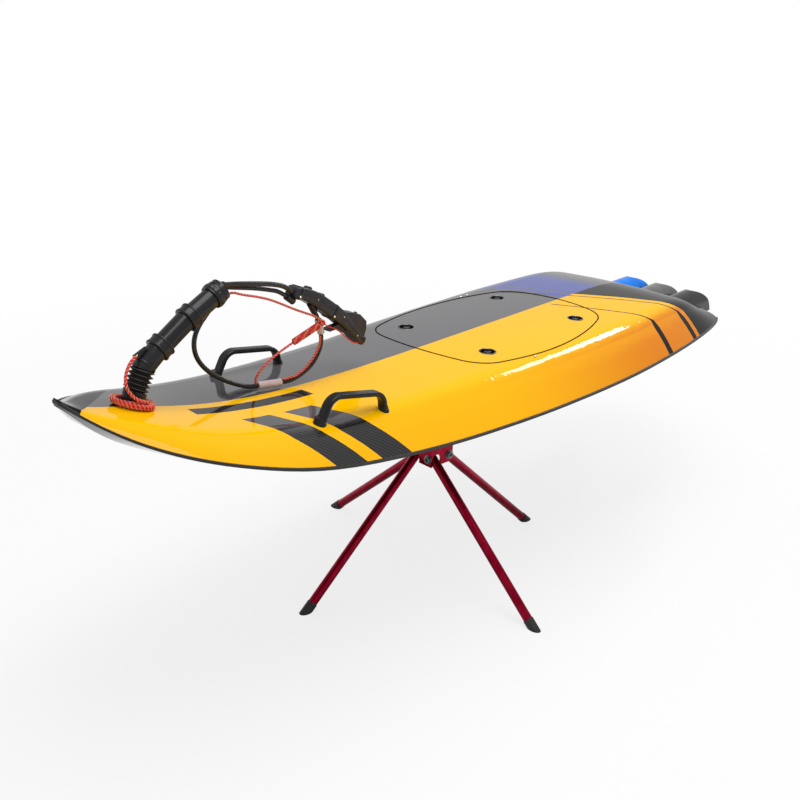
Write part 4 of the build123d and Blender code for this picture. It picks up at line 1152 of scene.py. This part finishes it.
def latch_faces():
    """Rims and hex keys of the four hatch latches."""
    pile = Pile()
    for x, y in corners(LATCH_LOW, LATCH_HIGH, LATCH_RADIUS):
        base = Vector((x, y, LATCH_HIGH.z))
        pile.lathe(base, UP, proud_of(LATCH_RADIUS, 0.0, LATCH_RIM), LATCH_SIDES, ends=False)
        pile.lathe(base, UP, LATCH_KEY, HEX, 1)
        pile.lathe(base, UP, LATCH_SOCKET, HEX, ends=False)
        pile.lathe(base, UP, LATCH_FLOOR, HEX, 1)
    pile.piece("latch_faces", [dark_steel, trim], "hatch")


def lid_rim():
    """Points round the lid's upper edge, from its foremost one."""
    mesh = nodes["hatch_lid"].data
    sides = {}
    for face in mesh.polygons:
        ring = [tuple(round(c, ROUNDED_TO) for c in mesh.vertices[v].co) for v in face.vertices]
        for a, b in zip(ring, ring[1:] + ring[:1]):
            sides.setdefault(frozenset((a, b)), []).append(face.normal.z)
    steep, flat = RIM_RISES
    following = {}
    for edge, rises in sides.items():
        if len(rises) == 2 and max(rises) > flat and min(rises) < steep:
            a, b = edge
            following.setdefault(a, []).append(b)
            following.setdefault(b, []).append(a)
    loop = [max(following, key=lambda p: p[0])]
    while True:
        options = [p for p in following[loop[-1]] if p not in loop]
        if not options:
            break
        loop.append(options[0])
    return [Vector(p) for p in loop + loop[:1]]


def seam_bead():
    """Dark lip of the seal along the lid's upper edge."""
    pile = Pile()
    pile.tube(spaced(lid_rim(), BEAD_STEP), BEAD_RADIUS, BEAD_SIDES)
    pile.piece("hatch_seam_bead", [seam_black], "hatch")


def deck_studs():
    """Small screws in the deck just outside the lid, two to starboard and one to port."""
    pile = Pile()
    for place in DECK_STUDS:
        screw(pile, Vector(place), UP, STUD_SCREW, 0)
    pile.piece("deck_studs", [bright], "board")


def bolt_heads():
    """Middle of each hub bolt's outer face and the way it faces."""
    for index in range(4):
        angle = STAND_TURN + index * TURN / 4
        along = Vector((math.cos(angle), math.sin(angle), 0))
        outward = Vector((math.sin(angle), -math.cos(angle), 0))
        yield Vector((STAND_X, 0, BOLT_Z)) + along * BOLT_OUT + outward * BOLT_FACE, outward


def hub_sockets():
    """Hex sockets and washers on the stand's four bolts."""
    pile = Pile()
    for at, axis in bolt_heads():
        pile.lathe(at, axis, BOLT_SOCKET, HEX, 1)
        pile.lathe(at - axis * WASHER_BEHIND, axis, WASHER_PROFILE, WASHER_SIDES)
    pile.piece("hub_bolt_faces", [dark_steel, trim], "board")


def drive_bolts():
    """Screws along the drive's two mouldings and round the grille, seen from below."""
    pile = Pile()
    rear = DRIVE_REAR + DRIVE_SCREW_END
    front = DRIVE_FRONT - DRIVE_SCREW_END
    for side in (1, -1):
        for k in range(DRIVE_SCREWS):
            x = rear + (front - rear) * k / (DRIVE_SCREWS - 1)
            y = side * (DRIVE_HALF - DRIVE_SCREW_EDGE)
            screw(pile, Vector((x, y, KEEL_Z + SCREW_SINK)), -UP, DRIVE_SCREW, 0)
    low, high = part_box("intake_grille")
    for x in (low.x + GRILLE_SCREW_EDGE, (low.x + high.x) / 2, high.x - GRILLE_SCREW_EDGE):
        for y in (low.y + GRILLE_SCREW_EDGE, high.y - GRILLE_SCREW_EDGE):
            screw(pile, Vector((x, y, low.z + SCREW_SINK)), -UP, GRILLE_SCREW, 0)
    pile.piece("drive_screws", [bright], "board")


def bay_fittings():
    """Ribs and screws on the engine's cover and the tank's filler, seen under the lifted lid."""
    pile = Pile()
    low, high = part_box("engine_block")
    rear = low.x + ENGINE_RIB_END
    front = high.x - ENGINE_RIB_END
    for k in range(ENGINE_RIBS):
        x = rear + (front - rear) * k / (ENGINE_RIBS - 1)
        rib = [(x, low.y + ENGINE_RIB_SIDE, high.z), (x, high.y - ENGINE_RIB_SIDE, high.z)]
        pile.tube(rib, ENGINE_RIB_RADIUS, 8)
    for x, y in corners(low, high, ENGINE_SCREW_EDGE):
        screw(pile, Vector((x, y, high.z)), UP, ENGINE_SCREW, 1)
    low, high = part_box("fuel_tank")
    filler = Vector(((low.x + high.x) / 2, low.y + FILLER_OUT, high.z))

    def grip_edge(angle):
        return 1.0 + FILLER_GRIP_SHARE * math.cos(FILLER_GRIPS * angle)

    pile.lathe(filler, UP, FILLER_NECK, FILLER_NECK_SIDES, 2)
    pile.lathe(filler, UP, FILLER_CAP, FILLER_GRIPS * FILLER_GRIP_POINTS, 3, wave=grip_edge)
    pile.piece("bay_fittings", [engine_cast, bright, tank_plastic, trim], "board")


bellows()
stem_rings()
grip_fittings()
latch_faces()
seam_bead()
deck_studs()
hub_sockets()
drive_bolts()
bay_fittings()

# Camera
azimuth, elevation, roll = (math.radians(v) for v in (AZIMUTH, ELEVATION, ROLL))
level = Vector((math.sin(azimuth), math.cos(azimuth), 0))
back = level * math.cos(elevation) + UP * math.sin(elevation)
right = Vector((-math.cos(azimuth), math.sin(azimuth), 0))
above = back.cross(right)
rolled_right = right * math.cos(roll) + above * math.sin(roll)
rolled_above = above * math.cos(roll) - right * math.sin(roll)
camera_data = bpy.data.cameras.new("camera")
camera_data.lens = LENS
camera_data.sensor_width = SENSOR
camera = new_object("camera", camera_data)
facing = Matrix((rolled_right, rolled_above, back)).transposed()
camera.matrix_world = Matrix.LocRotScale(TARGET + back * DISTANCE, facing, None)
bpy.context.scene.camera = camera


def lay_floor():
    """White floor, with the shadow kept near the stand."""
    half = FLOOR_HALF
    floor = place_mesh("floor", [(-half, -half, 0), (half, -half, 0), (half, half, 0), (-half, half, 0)],
                       [(0, 1, 2, 3)], [])
    look = bpy.data.materials.new("floor_white")
    floor.data.materials.append(look)
    n = Nodes(look)
    diffuse = n.shader("ShaderNodeBsdfDiffuse", FLOOR_GREY)
    glow = n.shader("ShaderNodeEmission", WHITE, 1.0)
    vector, x, y = n.position()
    reach = n.math("SQRT", n.plus(n.times(x, x), n.times(y, y)))
    kept = n.times(n.without(n.ramp(reach, *SHADOW_REACH)), SHADOW_SHARE)
    share = n.times(n.seen_by_camera(), n.without(kept))
    n.end_with("ShaderNodeOutputMaterial", share, diffuse, glow)


def light_world():
    """White where the camera sees past the object, plain soft light elsewhere."""
    world = bpy.data.worlds.new("studio")
    bpy.context.scene.world = world
    n = Nodes(world)
    light = n.shader("ShaderNodeBackground", WHITE, WORLD_LIGHT)
    backdrop = n.shader("ShaderNodeBackground", WHITE, 1.0)
    n.end_with("ShaderNodeOutputWorld", n.seen_by_camera(), light, backdrop)


def soft_lamp(name, place, aim, size, power):
    lamp = bpy.data.lights.new(name, "AREA")
    lamp.shape = "RECTANGLE"
    lamp.size, lamp.size_y = size
    lamp.energy = power
    holder = new_object(name, lamp)
    holder.location = place
    holder.rotation_mode = "QUATERNION"
    holder.rotation_quaternion = (Vector(aim) - Vector(place)).to_track_quat("-Z", "Y")


lay_floor()
light_world()
for lamp_name, settings in LAMPS.items():
    soft_lamp(lamp_name, *settings)

bpy.context.scene.view_settings.view_transform = "Standard"
